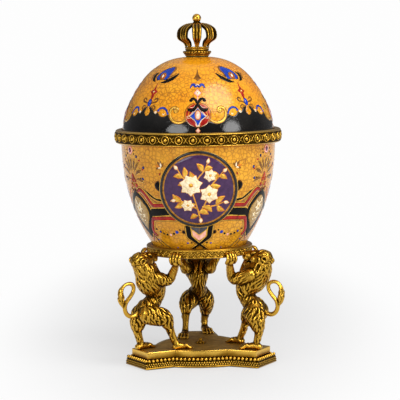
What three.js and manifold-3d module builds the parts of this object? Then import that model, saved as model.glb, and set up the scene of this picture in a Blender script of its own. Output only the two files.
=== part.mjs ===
// Egg shaped porcelain trinket box with a lift-off lid, on a cast brass stand of three lions.
// Millimetres, +Z up. The origin is the centre of the underside and the front looks along -Y.
import * as THREE from 'three';
import { mergeVertices } from 'three/addons/utils/BufferGeometryUtils.js';
import Module from 'manifold-3d';

const wasm = await Module();
wasm.setup();

// Fits shared by every piece
const CLEARANCE = 0.3;
const ROUND_STEPS = 40;
const MEDIUM_STEPS = 24;
const SMALL_STEPS = 12;
const STAND_TURN = 1.5;

// Base: felt, foot and plinth, three straight lobes with a bulged side between each two
const FELT_THICK = 0.8;
const FELT_INSET = 3;
const FOOT_THICK = 9.2;
const FOOT_CHAMFER = 1.8;
const PLINTH_THICK = 7;
const PLINTH_INSET = 4.7;
const LOBE_MARGIN = 9.1;
const LOBE_WIDTH = 40.5;
const NOTCH_RADIUS = 50.3;
const NOTCH_ANGLE = 34.5;
const BULGE_RADIUS = 46.7;

// Centre rosette and the screws through the base
const ROSETTE_RADIUS = 4.9;
const ROSETTE_HEIGHT = 5.4;
const ROSETTE_LEAVES = 8;
const SCREW_RADIUS = 1.5;
const SCREW_HEAD_RADIUS = 3.4;
const SCREW_HEAD_DEPTH = 2.4;
const SCREW_COVER = 1.2;
const HEEL_SCREW_BITE = 6;

// Lions: LION_REACH is the height from the plinth to the cradle ring that they lift
const LION_COUNT = 3;
const FIRST_LION_ANGLE = 210;
const LION_REACH = 92;
const HAND_RISE = 3.2;
const HAND_PROUD = 2.88;
const TAIL_RADIUS = 2.4;

// Cradle ring, with the plate that carries the bowl
const CRADLE_HEIGHT = 9.6;
const CRADLE_WIDTH = 5.9;
const CRADLE_LIP = 1.4;
const CRADLE_LEDGE_THICK = 1.6;
const CRADLE_LEDGE_WIDTH = 6;
const PLATE_THICK = 2;
const CORK_THICK = 1;
const CORK_INSET = 6;

// Bowl: it keeps BOWL_SHARE of an egg curve that would close to a point below its foot
const BOWL_RADIUS = 76.66;
const BOWL_HEIGHT = 111.3;
const BOWL_SHARE = 0.744;
const BOWL_POWER = 2.136;
const BOWL_ROUND = 1.337;
const BOWL_RIM = 1.1;
const BOWL_WALL = 4.5;
const BOWL_FLOOR = 5;
const BOWL_FOOT_CHAMFER = 1.6;
const BOWL_WELL_RISE = 6;
const BOWL_WELL_INSET = 5;

// Bolt through the bowl floor
const BOLT_RADIUS = 3;
const BOLT_WASHER_RADIUS = 9;
const BOLT_WASHER_THICK = 1.2;
const BOLT_HEAD_RADIUS = 5.6;
const BOLT_HEAD_HEIGHT = 4;
const BOLT_HEAD_CHAMFER = 1.6;
const BOLT_NUT_HEIGHT = 4.4;
const BOLT_END = 1.5;

// Collar round the mouth of the bowl
const COLLAR_PROUD = 6.84;
const COLLAR_SKIRT = 6.3;
const COLLAR_HEIGHT = 14;
const COLLAR_LEDGE_THICK = 2;
const COLLAR_LEDGE_WIDTH = 5.7;

// Outer moulding of the collar: shares of COLLAR_PROUD out from the bowl, and of COLLAR_HEIGHT up
const COLLAR_MOULDING = [[0.34, 0], [0.53, 0.107], [0.825, 0.171], [1, 0.314], [1, 0.629], [0.81, 0.836],
  [0.5, 0.971], [0.21, 1]];
const COLLAR_MOUTH_DROP = 0.8;

// Round medallions on the front and back of the bowl
const MEDALLION_DROP = 47;
const MEDALLION_RADIUS = 38;
const MEDALLION_PROUD = 2.9;

// Lid: a dome on a short straight rim, set in from the bowl
const LID_INSET = 1.8;
const LID_GAP = 1.64;
const LID_STRAIGHT = 4.6;
const LID_HEIGHT = 72;
const LID_POWER = 1.408;
const LID_ROUND = 2.728;
const LID_FLAT = 0.5;
const LID_WALL = 4.4;
const LID_TONGUE_DEPTH = 4.6;
const LID_TONGUE_WALL = 3;
const LID_TONGUE_GAP = 0.5;

// Crown knob with its orb, and the rod that holds it on the lid
const PAD_THICK = 0.8;
const PAD_INSET = 0.9;
const CROWN_BASE_HEIGHT = 9.3;
const CROWN_FLANGE_RADIUS = 11.9;
const CROWN_LEDGE_RADIUS = 13.3;
const CROWN_LEDGE_HEIGHT = 2.8;
const CROWN_BAND_RADIUS = 12.1;
const CROWN_GROOVE = 1;
const CROWN_BEAD_RADIUS = 14.2;
const CROWN_BEAD_HEIGHT = 2.5;
const CROWN_BEAD_CHAMFER = 0.85;
const CROWN_FLANGE_THICK = 1.2;
const CROWN_FLARE = 1;
const CROWN_BAND_STEP = 0.6;
const ARCH_COUNT = 8;
const ARCH_THICK = 1.8;
const ARCH_WIDTH = 9;
const ARCH_HEIGHT = 23.5;
const ARCH_BULGE_RADIUS = 19.7;
const ARCH_FOOT_INSET = 0.6;
const ARCH_TIP_WIDTH = 4.2;
// Middle line of an arch: shares of its bulge out from its foot, and of ARCH_HEIGHT up
const ARCH_LINE = [[0, 0], [0.24, 0.18], [0.824, 0.35], [0.901, 0.553], [0.692, 0.757], [0.066, 0.911]];
const CAP_SPIGOT_RADIUS = 3;
const CAP_SPIGOT_LENGTH = 4.4;
const CAP_RADIUS = 4.2;
const CAP_THICK = 1.6;
const CAP_CHAMFER = 0.55;
const ORB_RADIUS = 4.4;
const ORB_RISE = 3;
const ORB_PIN_RADIUS = 1.2;
const ORB_PIN_LENGTH = 2.6;
const ROD_RADIUS = 1.6;
const ROD_END = 1;
const LID_WASHER_RADIUS = 9;
const LID_WASHER_THICK = 1.2;
const LID_NUT_RADIUS = 4.4;
const LID_NUT_HEIGHT = 3.4;

// Heights that follow from the sizes above, from the table up
const FOOT_TOP = FELT_THICK + FOOT_THICK;
const PLINTH_TOP = FOOT_TOP + PLINTH_THICK;
const SCREW_HEAD_Z = FELT_THICK + CLEARANCE;
const CRADLE_BOTTOM = PLINTH_TOP + LION_REACH;
const CRADLE_TOP = CRADLE_BOTTOM + CRADLE_HEIGHT;
const PLATE_Z = CRADLE_BOTTOM + CRADLE_LEDGE_THICK;
const CORK_Z = PLATE_Z + PLATE_THICK;
const BOWL_FOOT_Z = CORK_Z + CORK_THICK;
const BOWL_FLOOR_Z = BOWL_FOOT_Z + BOWL_FLOOR;
const BOWL_SHOULDER_Z = BOWL_FOOT_Z + BOWL_HEIGHT;
const BOWL_RIM_Z = BOWL_SHOULDER_Z + BOWL_RIM;
const MEDALLION_Z = BOWL_RIM_Z - MEDALLION_DROP;
const COLLAR_SKIRT_Z = BOWL_RIM_Z - COLLAR_SKIRT;
const COLLAR_TOP = COLLAR_SKIRT_Z + COLLAR_HEIGHT;
const COLLAR_LEDGE_Z = BOWL_RIM_Z + COLLAR_LEDGE_THICK;
const LID_RIM_Z = COLLAR_LEDGE_Z + CLEARANCE;
const LID_SHOULDER_Z = LID_RIM_Z + LID_STRAIGHT;
const LID_SEAT_Z = LID_SHOULDER_Z + LID_HEIGHT - LID_FLAT;
const LID_CEILING_Z = LID_SEAT_Z - LID_WALL;
const CROWN_Z = LID_SEAT_Z + PAD_THICK;
const CROWN_LEDGE_Z = CROWN_Z + CROWN_LEDGE_HEIGHT;
const CROWN_BAND_TOP = CROWN_Z + CROWN_BASE_HEIGHT;
const ARCH_TOP_Z = CROWN_BAND_TOP + ARCH_HEIGHT;
const CAP_TOP = ARCH_TOP_Z + CAP_THICK;

// Radius of the bowl's outer face at a height
const bowlRadius = (height) => {
  const drop = Math.max(BOWL_SHOULDER_Z - height, 0) * (BOWL_SHARE / BOWL_HEIGHT);
  return BOWL_RADIUS * (1 - drop ** BOWL_POWER) ** (1 / BOWL_ROUND);
};

// Radii that follow
const CRADLE_MOUTH = bowlRadius(CRADLE_TOP) + CLEARANCE;
const CRADLE_RADIUS = CRADLE_MOUTH + CRADLE_WIDTH;
const LID_RADIUS = BOWL_RADIUS - LID_INSET;
const COLLAR_MOUTH_RADIUS = LID_RADIUS + LID_GAP;
const COLLAR_LEDGE_RADIUS = COLLAR_MOUTH_RADIUS - COLLAR_LEDGE_WIDTH;

// Radius of the lid at a height, of its outer face or drawn in by a wall
const lidRadius = (height, wall = 0) => {
  const rise = Math.max(height - LID_SHOULDER_Z, 0) / (LID_HEIGHT - wall);
  return (LID_RADIUS - wall) * (1 - rise ** LID_POWER) ** (1 / LID_ROUND);
};

const PORCELAIN = { color: 0xe0a23c, roughness: 0.22, metalness: 0.0 };
const BRASS = { color: 0xb08632, roughness: 0.38, metalness: 1.0 };
const POLISHED_BRASS = { color: 0xcfa550, roughness: 0.25, metalness: 1.0 };
const ENAMEL = { color: 0x4a345e, roughness: 0.15, metalness: 0.0 };
const STEEL = { color: 0x9a9a98, roughness: 0.4, metalness: 1.0 };
const FELT = { color: 0x2c4a34, roughness: 0.95, metalness: 0.0 };
const CORK = { color: 0x9a7648, roughness: 0.9, metalness: 0.0 };

const object = new THREE.Group();
const stand = new THREE.Group();
stand.rotation.z = THREE.MathUtils.degToRad(STAND_TURN);
object.add(stand);

const radians = THREE.MathUtils.degToRad;
const point = (x, y) => new THREE.Vector2(x, y);
const spot = (x, y, z) => new THREE.Vector3(x, y, z);

// Turns a geometry inside out if its faces point inward
function faceOutward(geometry) {
  const place = geometry.getAttribute('position');
  const index = geometry.getIndex();
  const corner = (k) => new THREE.Vector3().fromBufferAttribute(place, index.getX(k));
  let volume = 0;
  for (let k = 0; k < index.count; k += 3) {
    volume += corner(k).dot(corner(k + 1).cross(corner(k + 2)));
  }
  if (volume < 0) {
    for (let k = 0; k < index.count; k += 3) {
      const second = index.getX(k + 1);
      index.setX(k + 1, index.getX(k + 2));
      index.setX(k + 2, second);
    }
  }
  return geometry;
}

// A merged geometry with positions only
function weld(geometry) {
  geometry.deleteAttribute('normal');
  geometry.deleteAttribute('uv');
  return faceOutward(mergeVertices(geometry, 1e-4));
}

// A body turned about Z from an outline of [radius, height] points
function turned(outline, steps = ROUND_STEPS) {
  const first = outline[0];
  const last = outline[outline.length - 1];
  const onAxis = first[0] === 0 && last[0] === 0;
  const points = outline.map(([radius, height]) => point(radius, height));
  if (!onAxis) points.push(points[0].clone());
  const geometry = new THREE.LatheGeometry(points, steps);
  geometry.rotateX(Math.PI / 2);
  return dropSlivers(weld(geometry));
}

// Removes the triangles that collapse to a line on the axis
function dropSlivers(geometry) {
  const index = geometry.getIndex();
  const kept = [];
  for (let k = 0; k < index.count; k += 3) {
    const [a, b, c] = [index.getX(k), index.getX(k + 1), index.getX(k + 2)];
    if (a !== b && b !== c && c !== a) kept.push(a, b, c);
  }
  geometry.setIndex(kept);
  return geometry;
}

// A skin over rings of points, closed at both ends by a fan round a pole
function loft(rings, firstPole, lastPole) {
  const sides = rings[0].length;
  const places = [];
  const faces = [];
  for (const ring of rings) {
    for (const corner of ring) places.push(corner.x, corner.y, corner.z);
  }
  const first = rings.length * sides;
  places.push(firstPole.x, firstPole.y, firstPole.z, lastPole.x, lastPole.y, lastPole.z);
  for (let k = 0; k < sides; k += 1) {
    const next = (k + 1) % sides;
    const top = (rings.length - 1) * sides;
    faces.push(first, next, k);
    faces.push(first + 1, top + k, top + next);
    for (let row = 0; row < rings.length - 1; row += 1) {
      const low = row * sides;
      const high = low + sides;
      faces.push(low + k, low + next, high + next);
      faces.push(low + k, high + next, high + k);
    }
  }
  const geometry = new THREE.BufferGeometry();
  geometry.setAttribute('position', new THREE.Float32BufferAttribute(places, 3));
  geometry.setIndex(faces);
  return faceOutward(geometry);
}

// A rounded limb through stations [x, y, z, half width, half depth]
function limb(stations, sides = 8) {
  const centre = stations.map(([x, y, z]) => spot(x, y, z));
  const rings = [];
  const tangents = [];
  stations.forEach(([, , , halfWidth, halfDepth = halfWidth], k) => {
    const before = centre[Math.max(k - 1, 0)];
    const after = centre[Math.min(k + 1, centre.length - 1)];
    const along = after.clone().sub(before).normalize();
    const across = spot(0, 1, 0).addScaledVector(along, -along.y).normalize();
    const up = along.clone().cross(across);
    tangents.push(along);
    const ring = [];
    for (let side = 0; side < sides; side += 1) {
      const angle = (2 * Math.PI * (side + 0.5)) / sides;
      ring.push(centre[k].clone()
        .addScaledVector(across, halfWidth * Math.cos(angle))
        .addScaledVector(up, halfDepth * Math.sin(angle)));
    }
    rings.push(ring);
  });
  const end = stations.length - 1;
  const cap = (k) => 0.45 * Math.min(stations[k][3], stations[k][4] ?? stations[k][3]);
  return loft(rings,
    centre[0].clone().addScaledVector(tangents[0], -cap(0)),
    centre[end].clone().addScaledVector(tangents[end], cap(end)));
}

function solid(geometry) {
  const vertProperties = new Float32Array(geometry.getAttribute('position').array);
  const triVerts = new Uint32Array(geometry.getIndex().array);
  return new wasm.Manifold(new wasm.Mesh({ numProp: 3, vertProperties, triVerts }));
}

function geometryOf(manifold) {
  const mesh = manifold.getMesh();
  const geometry = new THREE.BufferGeometry();
  geometry.setAttribute('position', new THREE.Float32BufferAttribute(mesh.vertProperties, 3));
  geometry.setIndex(Array.from(mesh.triVerts));
  return geometry;
}

function rod(radius, low, high, x = 0, y = 0, steps = SMALL_STEPS) {
  const geometry = turned([[0, low], [radius, low], [radius, high], [0, high]], steps);
  geometry.translate(x, y, 0);
  return geometry;
}

// A six-sided nut with a round bore
function nut(radius, bore, low, high) {
  return geometryOf(solid(rod(radius, low, high, 0, 0, 6)).subtract(solid(rod(bore, low - 1, high + 1))));
}

function addPiece(name, geometry, finish, parent = object, turn = 0) {
  const mesh = new THREE.Mesh(geometry, new THREE.MeshStandardMaterial(finish));
  mesh.name = name;
  mesh.rotation.z = turn;
  parent.add(mesh);
  return mesh;
}

// Base

// Outline of the base, drawn in by an inset that is the same on every side
function baseOutline(inset) {
  const reach = lionPlace(HEEL_BACK).x + LOBE_MARGIN - inset;
  const half = LOBE_WIDTH / 2 - inset;
  const notch = NOTCH_RADIUS - inset;
  const bulge = BULGE_RADIUS - inset;
  const outline = [];
  for (let lobe = 0; lobe < LION_COUNT; lobe += 1) {
    const turn = radians(FIRST_LION_ANGLE + (360 / LION_COUNT) * lobe);
    const side = turn + Math.PI / LION_COUNT;
    const along = (x, y, angle) => point(
      x * Math.cos(angle) - y * Math.sin(angle),
      x * Math.sin(angle) + y * Math.cos(angle));
    outline.push(along(reach, -half, turn));
    outline.push(along(reach, half, turn));
    const span = radians(NOTCH_ANGLE);
    const sag = bulge - notch * Math.cos(span);
    for (let step = -6; step <= 6; step += 1) {
      const share = step / 6;
      outline.push(along(bulge - sag * share * share, notch * Math.sin(span) * share, side));
    }
  }
  return outline;
}

function baseSlab(low, high, inset, chamfer) {
  const layers = chamfer > 0
    ? [[low, inset], [high - chamfer, inset], [high, inset + chamfer]]
    : [[low, inset], [high, inset]];
  const rings = layers.map(([height, edge]) =>
    baseOutline(edge).map((corner) => spot(corner.x, corner.y, height)));
  return loft(rings, spot(0, 0, low), spot(0, 0, high));
}

const lionAngles = Array.from({ length: LION_COUNT },
  (unused, k) => radians(FIRST_LION_ANGLE + (360 / LION_COUNT) * k));

function screwPlaces() {
  const places = [];
  for (const angle of lionAngles) {
    for (const heel of [HEEL_FRONT, HEEL_BACK]) {
      const { x, y } = lionPlace(heel).applyAxisAngle(spot(0, 0, 1), angle);
      places.push([x, y]);
    }
  }
  return places;
}

function screw(reach) {
  const shank = SCREW_HEAD_Z + SCREW_HEAD_DEPTH;
  return [[0, SCREW_HEAD_Z], [SCREW_HEAD_RADIUS, SCREW_HEAD_Z], [SCREW_HEAD_RADIUS, shank],
    [SCREW_RADIUS, shank], [SCREW_RADIUS, reach], [0, reach]];
}

function buildBase() {
  const holes = [...screwPlaces(), [0, 0]];
  const bore = (x, y, high) => solid(rod(SCREW_RADIUS + CLEARANCE, -1, high, x, y));
  const sink = (x, y) => solid(rod(SCREW_HEAD_RADIUS + CLEARANCE, -1,
    SCREW_HEAD_Z + SCREW_HEAD_DEPTH, x, y));

  let foot = solid(baseSlab(FELT_THICK, FOOT_TOP, 0, FOOT_CHAMFER));
  let plinth = solid(baseSlab(FOOT_TOP, PLINTH_TOP, PLINTH_INSET, 0));
  for (const [x, y] of holes) {
    foot = foot.subtract(bore(x, y, PLINTH_TOP + 1)).subtract(sink(x, y));
    plinth = plinth.subtract(bore(x, y, PLINTH_TOP + 1));
  }
  addPiece('base_felt', baseSlab(0, FELT_THICK, FELT_INSET, 0), FELT, stand);
  addPiece('base_foot', geometryOf(foot), BRASS, stand);
  addPiece('base_plinth', geometryOf(plinth), BRASS, stand);

  const rosette = solid(rosetteBody())
    .subtract(solid(rod(SCREW_RADIUS + CLEARANCE, PLINTH_TOP - 1, PLINTH_TOP + ROSETTE_HEIGHT - SCREW_COVER)));
  addPiece('base_rosette', geometryOf(rosette), BRASS, stand);
  addPiece('centre_screw', turned(screw(PLINTH_TOP + ROSETTE_HEIGHT - SCREW_COVER - CLEARANCE), SMALL_STEPS),
    STEEL, stand);
  holes.slice(0, -1).forEach(([x, y], k) => {
    const geometry = turned(screw(PLINTH_TOP + HEEL_SCREW_BITE - CLEARANCE), SMALL_STEPS);
    geometry.translate(x, y, 0);
    addPiece(`lion_screw_${k + 1}`, geometry, STEEL, stand);
  });
}

// A low leafy knob, its radius waved once for each leaf
function rosetteBody() {
  const sides = 4 * ROSETTE_LEAVES;
  const levels = [[0, 1], [0.28, 1.02], [0.5, 0.78], [0.62, 0.52], [0.85, 0.48], [1, 0.26]];
  const rings = levels.map(([share, width]) => {
    const ring = [];
    for (let side = 0; side < sides; side += 1) {
      const angle = (2 * Math.PI * side) / sides;
      const leaf = share < 0.6 ? 0.92 + 0.08 * Math.cos(ROSETTE_LEAVES * angle) : 1;
      const radius = ROSETTE_RADIUS * width * leaf;
      ring.push(spot(radius * Math.cos(angle), radius * Math.sin(angle),
        PLINTH_TOP + ROSETTE_HEIGHT * share));
    }
    return ring;
  });
  return loft(rings, spot(0, 0, PLINTH_TOP), spot(0, 0, PLINTH_TOP + ROSETTE_HEIGHT));
}

// Lions

// Drawn with x outward from the axis, y counter-clockwise and z up from the plinth; each row is x, y, z,
// half width, half depth. The figure is fitted by its right hand, which reaches HAND_RISE over the lower
// edge of the cradle ring and stands HAND_PROUD of its rim.
const HEEL_FRONT = [39.5, 15, 0];
const HEEL_BACK = [66, -6, 0];
const TORSO = [
  [64.5, 0, 33, 11.5, 8.5], [62, 0, 39, 11.5, 9.5], [57, 0, 44.5, 8.6, 8.8], [53.4, 0, 49, 7, 8.6],
  [52, 0, 54, 7.8, 9.8], [53, 0, 60.5, 10.8, 12], [56.5, 0, 67.5, 13.4, 14], [62, 0, 74, 13, 14],
  [67, 0, 81, 12.2, 13.2], [69.5, 0, 87.5, 11.4, 12], [70, 0, 92.5, 9.4, 9.6], [70, 0, 96.5, 5.4, 5.4],
];
const MUZZLE = [[67, 0, 88, 8, 7.5], [59, 0, 89, 6.6, 6.4], [54.5, 0, 88.2, 5.2], [52, 0, 87.6, 3.8]];
const FRONT_THIGH = [[65, 7, 35, 9, 10], [56, 10.5, 34, 8.6, 9.6], [48, 13, 31.5, 7.4, 8.2],
  [45.5, 13.6, 25, 5.8, 6.2]];
const FRONT_SHIN = [[47, 13.2, 32, 5.8], [45.6, 13.8, 24, 5.4], [44, 14, 16, 3.9], [41.5, 14.6, 9, 3.7],
  [39.8, 15, 3, 4.3]];
const BACK_THIGH = [[63, -5, 38, 9, 9.5], [66, -8.2, 32, 8, 9.4], [68.4, -7.6, 24, 6.6, 7.2]];
const BACK_SHIN = [[67.6, -7.8, 27, 6.6], [68.4, -7, 20, 5.4], [67.2, -6.2, 13, 4.1], [65.6, -6, 7, 3.9],
  [66, -6, 2.5, 4.5]];
const FRONT_FOOT = [[42.2, 14.6, 2.3, 4.4, 3.4], [36, 15.4, 2.8, 4.6, 3.9], [30, 16.2, 2.2, 5, 3],
  [25, 17, 1.8, 5, 2.6], [22.4, 17.5, 1.4, 4, 2]];
const BACK_FOOT = [[69, -5.6, 2.3, 4.4, 3.4], [62.6, -6.8, 2.8, 4.6, 3.9], [56.4, -8, 2.2, 5, 3],
  [51, -9, 1.8, 5, 2.6], [48.4, -9.5, 1.4, 4, 2]];
const RIGHT_ARM = [[58, 9.5, 72, 6.4], [50, 12, 70.5, 6], [42.6, 12.8, 69, 5.4], [41.6, 15, 73, 4.6],
  [42, 21, 80.5, 3.8], [43.4, 27, 87, 3.6], [44, 29.6, 90, 4.6]];
const LEFT_ARM = [[58, -9.5, 72, 6.4], [50, -11.4, 70.5, 6], [43, -12, 69, 5.4], [42.4, -14, 73, 4.6],
  [44, -18.6, 80.5, 3.8], [46, -23, 87, 3.6], [46.6, -25, 90, 4.6]];
const RIGHT_HAND = [[43, 27.4, 88.4, 4.8, 4.4], [45.6, 30.4, 91.6, 6.6, 5], [46.6, 31.2, 95.2, 6.6, 4]];
const LEFT_HAND = [[45.6, -23.4, 88.4, 4.8, 4.4], [48.4, -25.8, 91.6, 6.6, 5], [49.4, -26.6, 95.2, 6.6, 4]];

// Middle line of the tail in the lion's upright middle plane, from the rump to the tuft
const TAIL = [
  [71, 37.4], [75.5, 35.2], [80.4, 34.6], [84.8, 37.8], [86.6, 43.4], [85, 49], [80.6, 54], [76.8, 59.2],
  [76.7, 64], [80.4, 67.2], [85.8, 67.3], [89.7, 63.8], [91.2, 58.4], [90.8, 53.6], [89.8, 48.8], [89, 45],
];
const TUFT_SWELL = [0.85, 1.25, 1.5, 1.2, 0.5];
const TAIL_SOCKET_STATIONS = 3;

// How far the drawn figure is spread in plan and raised, to fit the plinth and the cradle ring
const [gripX, gripY, gripZ] = RIGHT_HAND[RIGHT_HAND.length - 1];
const lionSpread = (CRADLE_RADIUS + HAND_PROUD) / Math.hypot(gripX, gripY);
const lionRise = (LION_REACH + HAND_RISE) / gripZ;

function lionPlace([x, y, z]) {
  return spot(x * lionSpread, y * lionSpread, PLINTH_TOP + z * lionRise);
}

function lionLimb(rows, sides) {
  return limb(rows.map(([x, y, z, wide, deep = wide]) => {
    const place = lionPlace([x, y, z]);
    return [place.x, place.y, place.z, wide * lionSpread, deep * lionSpread];
  }), sides);
}

function hoop(inner, outer, low, high) {
  return solid(turned([[inner, low], [outer, low], [outer, high], [inner, high]]));
}

function tailBody(growth, stations = TAIL.length) {
  const firstTuft = TAIL.length - TUFT_SWELL.length;
  return lionLimb(TAIL.slice(0, stations).map(([x, z], k) => {
    const swell = k < firstTuft ? 1 : TUFT_SWELL[k - firstTuft];
    return [x, 0, z, (TAIL_RADIUS * swell + growth) / lionSpread];
  }), 6);
}

function buildLions() {
  const limbs = [MUZZLE, FRONT_THIGH, FRONT_SHIN, BACK_THIGH, BACK_SHIN, FRONT_FOOT, BACK_FOOT,
    RIGHT_ARM, LEFT_ARM, RIGHT_HAND, LEFT_HAND];
  let lion = solid(lionLimb(TORSO, 8));
  for (const rows of limbs) lion = lion.add(solid(lionLimb(rows, 6)));
  const ground = new THREE.BoxGeometry(4 * BOWL_RADIUS, 4 * BOWL_RADIUS, PLINTH_TOP);
  lion = lion.subtract(solid(weld(ground.translate(0, 0, PLINTH_TOP / 2))));
  lion = lion.subtract(hoop(CRADLE_MOUTH - CRADLE_LEDGE_WIDTH, CRADLE_RADIUS + CLEARANCE,
    CRADLE_BOTTOM - CLEARANCE, CRADLE_TOP + CLEARANCE));
  for (const heel of [HEEL_FRONT, HEEL_BACK]) {
    const { x, y } = lionPlace(heel);
    lion = lion.subtract(solid(
      rod(SCREW_RADIUS + CLEARANCE, PLINTH_TOP - 1, PLINTH_TOP + HEEL_SCREW_BITE, x, y)));
  }
  lion = lion.subtract(solid(tailBody(CLEARANCE, TAIL_SOCKET_STATIONS)));
  const body = geometryOf(lion);
  const tail = tailBody(0);
  lionAngles.forEach((angle, k) => {
    addPiece(`lion_${k + 1}`, body, BRASS, stand, angle);
    addPiece(`lion_tail_${k + 1}`, tail, BRASS, stand, angle);
  });
}

// Cradle, bowl and collar

function spread(low, high, count) {
  return Array.from({ length: count + 1 }, (unused, k) => low + ((high - low) * k) / count);
}

function buildCradle() {
  const ledge = CRADLE_MOUTH - CRADLE_LEDGE_WIDTH;
  const lip = CRADLE_LIP;
  addPiece('cradle_ring', turned([
    [ledge, CRADLE_BOTTOM], [CRADLE_RADIUS - lip, CRADLE_BOTTOM], [CRADLE_RADIUS, CRADLE_BOTTOM + lip],
    [CRADLE_RADIUS, CRADLE_TOP - lip], [CRADLE_RADIUS - lip, CRADLE_TOP], [CRADLE_MOUTH, CRADLE_TOP],
    [CRADLE_MOUTH, PLATE_Z], [ledge, PLATE_Z],
  ]), BRASS, stand);
  const hole = BOLT_RADIUS + CLEARANCE;
  addPiece('cradle_plate', turned([
    [hole, PLATE_Z], [CRADLE_MOUTH - CLEARANCE, PLATE_Z], [CRADLE_MOUTH - CLEARANCE, CORK_Z],
    [hole, CORK_Z],
  ], MEDIUM_STEPS), BRASS, stand);
  const cork = bowlRadius(BOWL_FOOT_Z) - CORK_INSET;
  addPiece('bowl_cork', turned([
    [hole, CORK_Z], [cork, CORK_Z], [cork, BOWL_FOOT_Z], [hole, BOWL_FOOT_Z],
  ], MEDIUM_STEPS), CORK);
}

function buildBowl() {
  const hole = BOLT_RADIUS + CLEARANCE;
  const foot = bowlRadius(BOWL_FOOT_Z + BOWL_FOOT_CHAMFER);
  const outline = [[hole, BOWL_FOOT_Z], [foot - BOWL_FOOT_CHAMFER, BOWL_FOOT_Z]];
  for (const height of spread(BOWL_FOOT_Z + BOWL_FOOT_CHAMFER, BOWL_SHOULDER_Z, 10)) {
    outline.push([bowlRadius(height), height]);
  }
  outline.push([bowlRadius(BOWL_RIM_Z), BOWL_RIM_Z]);
  outline.push([bowlRadius(BOWL_RIM_Z) - BOWL_WALL, BOWL_RIM_Z]);
  for (const height of spread(BOWL_SHOULDER_Z, BOWL_FLOOR_Z + BOWL_WELL_RISE, 6)) {
    outline.push([bowlRadius(height) - BOWL_WALL, height]);
  }
  outline.push([bowlRadius(BOWL_FLOOR_Z) - BOWL_WALL - BOWL_WELL_INSET, BOWL_FLOOR_Z]);
  outline.push([hole, BOWL_FLOOR_Z]);
  addPiece('bowl_shell', turned(outline), PORCELAIN);

  const washer = BOWL_FLOOR_Z + BOLT_WASHER_THICK;
  const head = washer + BOLT_HEAD_HEIGHT;
  const nutTop = PLATE_Z - BOLT_WASHER_THICK;
  addPiece('bowl_bolt', turned([
    [0, nutTop - BOLT_NUT_HEIGHT - BOLT_END], [BOLT_RADIUS, nutTop - BOLT_NUT_HEIGHT - BOLT_END],
    [BOLT_RADIUS, washer], [BOLT_HEAD_RADIUS, washer], [BOLT_HEAD_RADIUS, head - BOLT_HEAD_CHAMFER],
    [BOLT_HEAD_RADIUS - BOLT_HEAD_CHAMFER, head], [0, head],
  ], SMALL_STEPS), POLISHED_BRASS);
  addPiece('bowl_washer', turned([
    [hole, BOWL_FLOOR_Z], [BOLT_WASHER_RADIUS, BOWL_FLOOR_Z], [BOLT_WASHER_RADIUS, washer], [hole, washer],
  ], SMALL_STEPS), POLISHED_BRASS);
  addPiece('cradle_washer', turned([
    [hole, nutTop], [BOLT_WASHER_RADIUS, nutTop], [BOLT_WASHER_RADIUS, PLATE_Z], [hole, PLATE_Z],
  ], SMALL_STEPS), POLISHED_BRASS);
  addPiece('cradle_nut', nut(BOLT_HEAD_RADIUS, hole, nutTop - BOLT_NUT_HEIGHT, nutTop), POLISHED_BRASS);
}

function buildCollar() {
  const sleeve = BOWL_RADIUS + CLEARANCE;
  const moulding = COLLAR_MOULDING.map(([out, up]) =>
    [BOWL_RADIUS + COLLAR_PROUD * out, COLLAR_SKIRT_Z + COLLAR_HEIGHT * up]);
  addPiece('collar', turned([
    [sleeve, COLLAR_SKIRT_Z], ...moulding, [COLLAR_MOUTH_RADIUS, COLLAR_TOP - COLLAR_MOUTH_DROP],
    [COLLAR_MOUTH_RADIUS, COLLAR_LEDGE_Z], [COLLAR_LEDGE_RADIUS, COLLAR_LEDGE_Z],
    [COLLAR_LEDGE_RADIUS, BOWL_RIM_Z], [sleeve, BOWL_RIM_Z],
  ]), BRASS);
}

// A slice of a shell that follows the bowl, cut round by a cylinder along Y
function buildMedallions() {
  const low = MEDALLION_Z - MEDALLION_RADIUS - 2;
  const high = COLLAR_SKIRT_Z - 1;
  const heights = spread(low, high, 6);
  const inside = heights.map((height) => [bowlRadius(height) + CLEARANCE, height]);
  const outside = heights.map((height) => [bowlRadius(height) + CLEARANCE + MEDALLION_PROUD, height]);
  const shell = solid(turned([...inside.reverse(), ...outside]));
  const cutter = new THREE.CylinderGeometry(MEDALLION_RADIUS, MEDALLION_RADIUS, 2 * BOWL_RADIUS, ROUND_STEPS);
  cutter.translate(0, -BOWL_RADIUS, 0);
  const round = solid(weld(cutter.translate(0, 0, MEDALLION_Z)));
  const front = geometryOf(shell.intersect(round));
  addPiece('medallion_front', front, ENAMEL);
  addPiece('medallion_back', front, ENAMEL, object, Math.PI);
}

// Lid and crown

function buildLid() {
  const hole = ROD_RADIUS + CLEARANCE;
  const tongue = COLLAR_LEDGE_RADIUS - LID_TONGUE_GAP;
  const inner = tongue - LID_TONGUE_WALL;
  const tongueZ = LID_RIM_Z - LID_TONGUE_DEPTH;
  const outline = [[inner, tongueZ], [tongue, tongueZ], [tongue, LID_RIM_Z], [LID_RADIUS, LID_RIM_Z]];
  for (const share of spread(0, 1, 10)) {
    const height = LID_SHOULDER_Z + (LID_SEAT_Z - LID_SHOULDER_Z) * Math.sin((share * Math.PI) / 2);
    outline.push([lidRadius(height), height]);
  }
  outline.push([hole, LID_SEAT_Z], [hole, LID_CEILING_Z]);
  for (const share of spread(1, 0, 6)) {
    const height = LID_SHOULDER_Z + (LID_CEILING_Z - LID_SHOULDER_Z) * Math.sin((share * Math.PI) / 2);
    outline.push([Math.min(lidRadius(height, LID_WALL), inner), height]);
  }
  addPiece('lid_shell', turned(outline), PORCELAIN);
}

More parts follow.
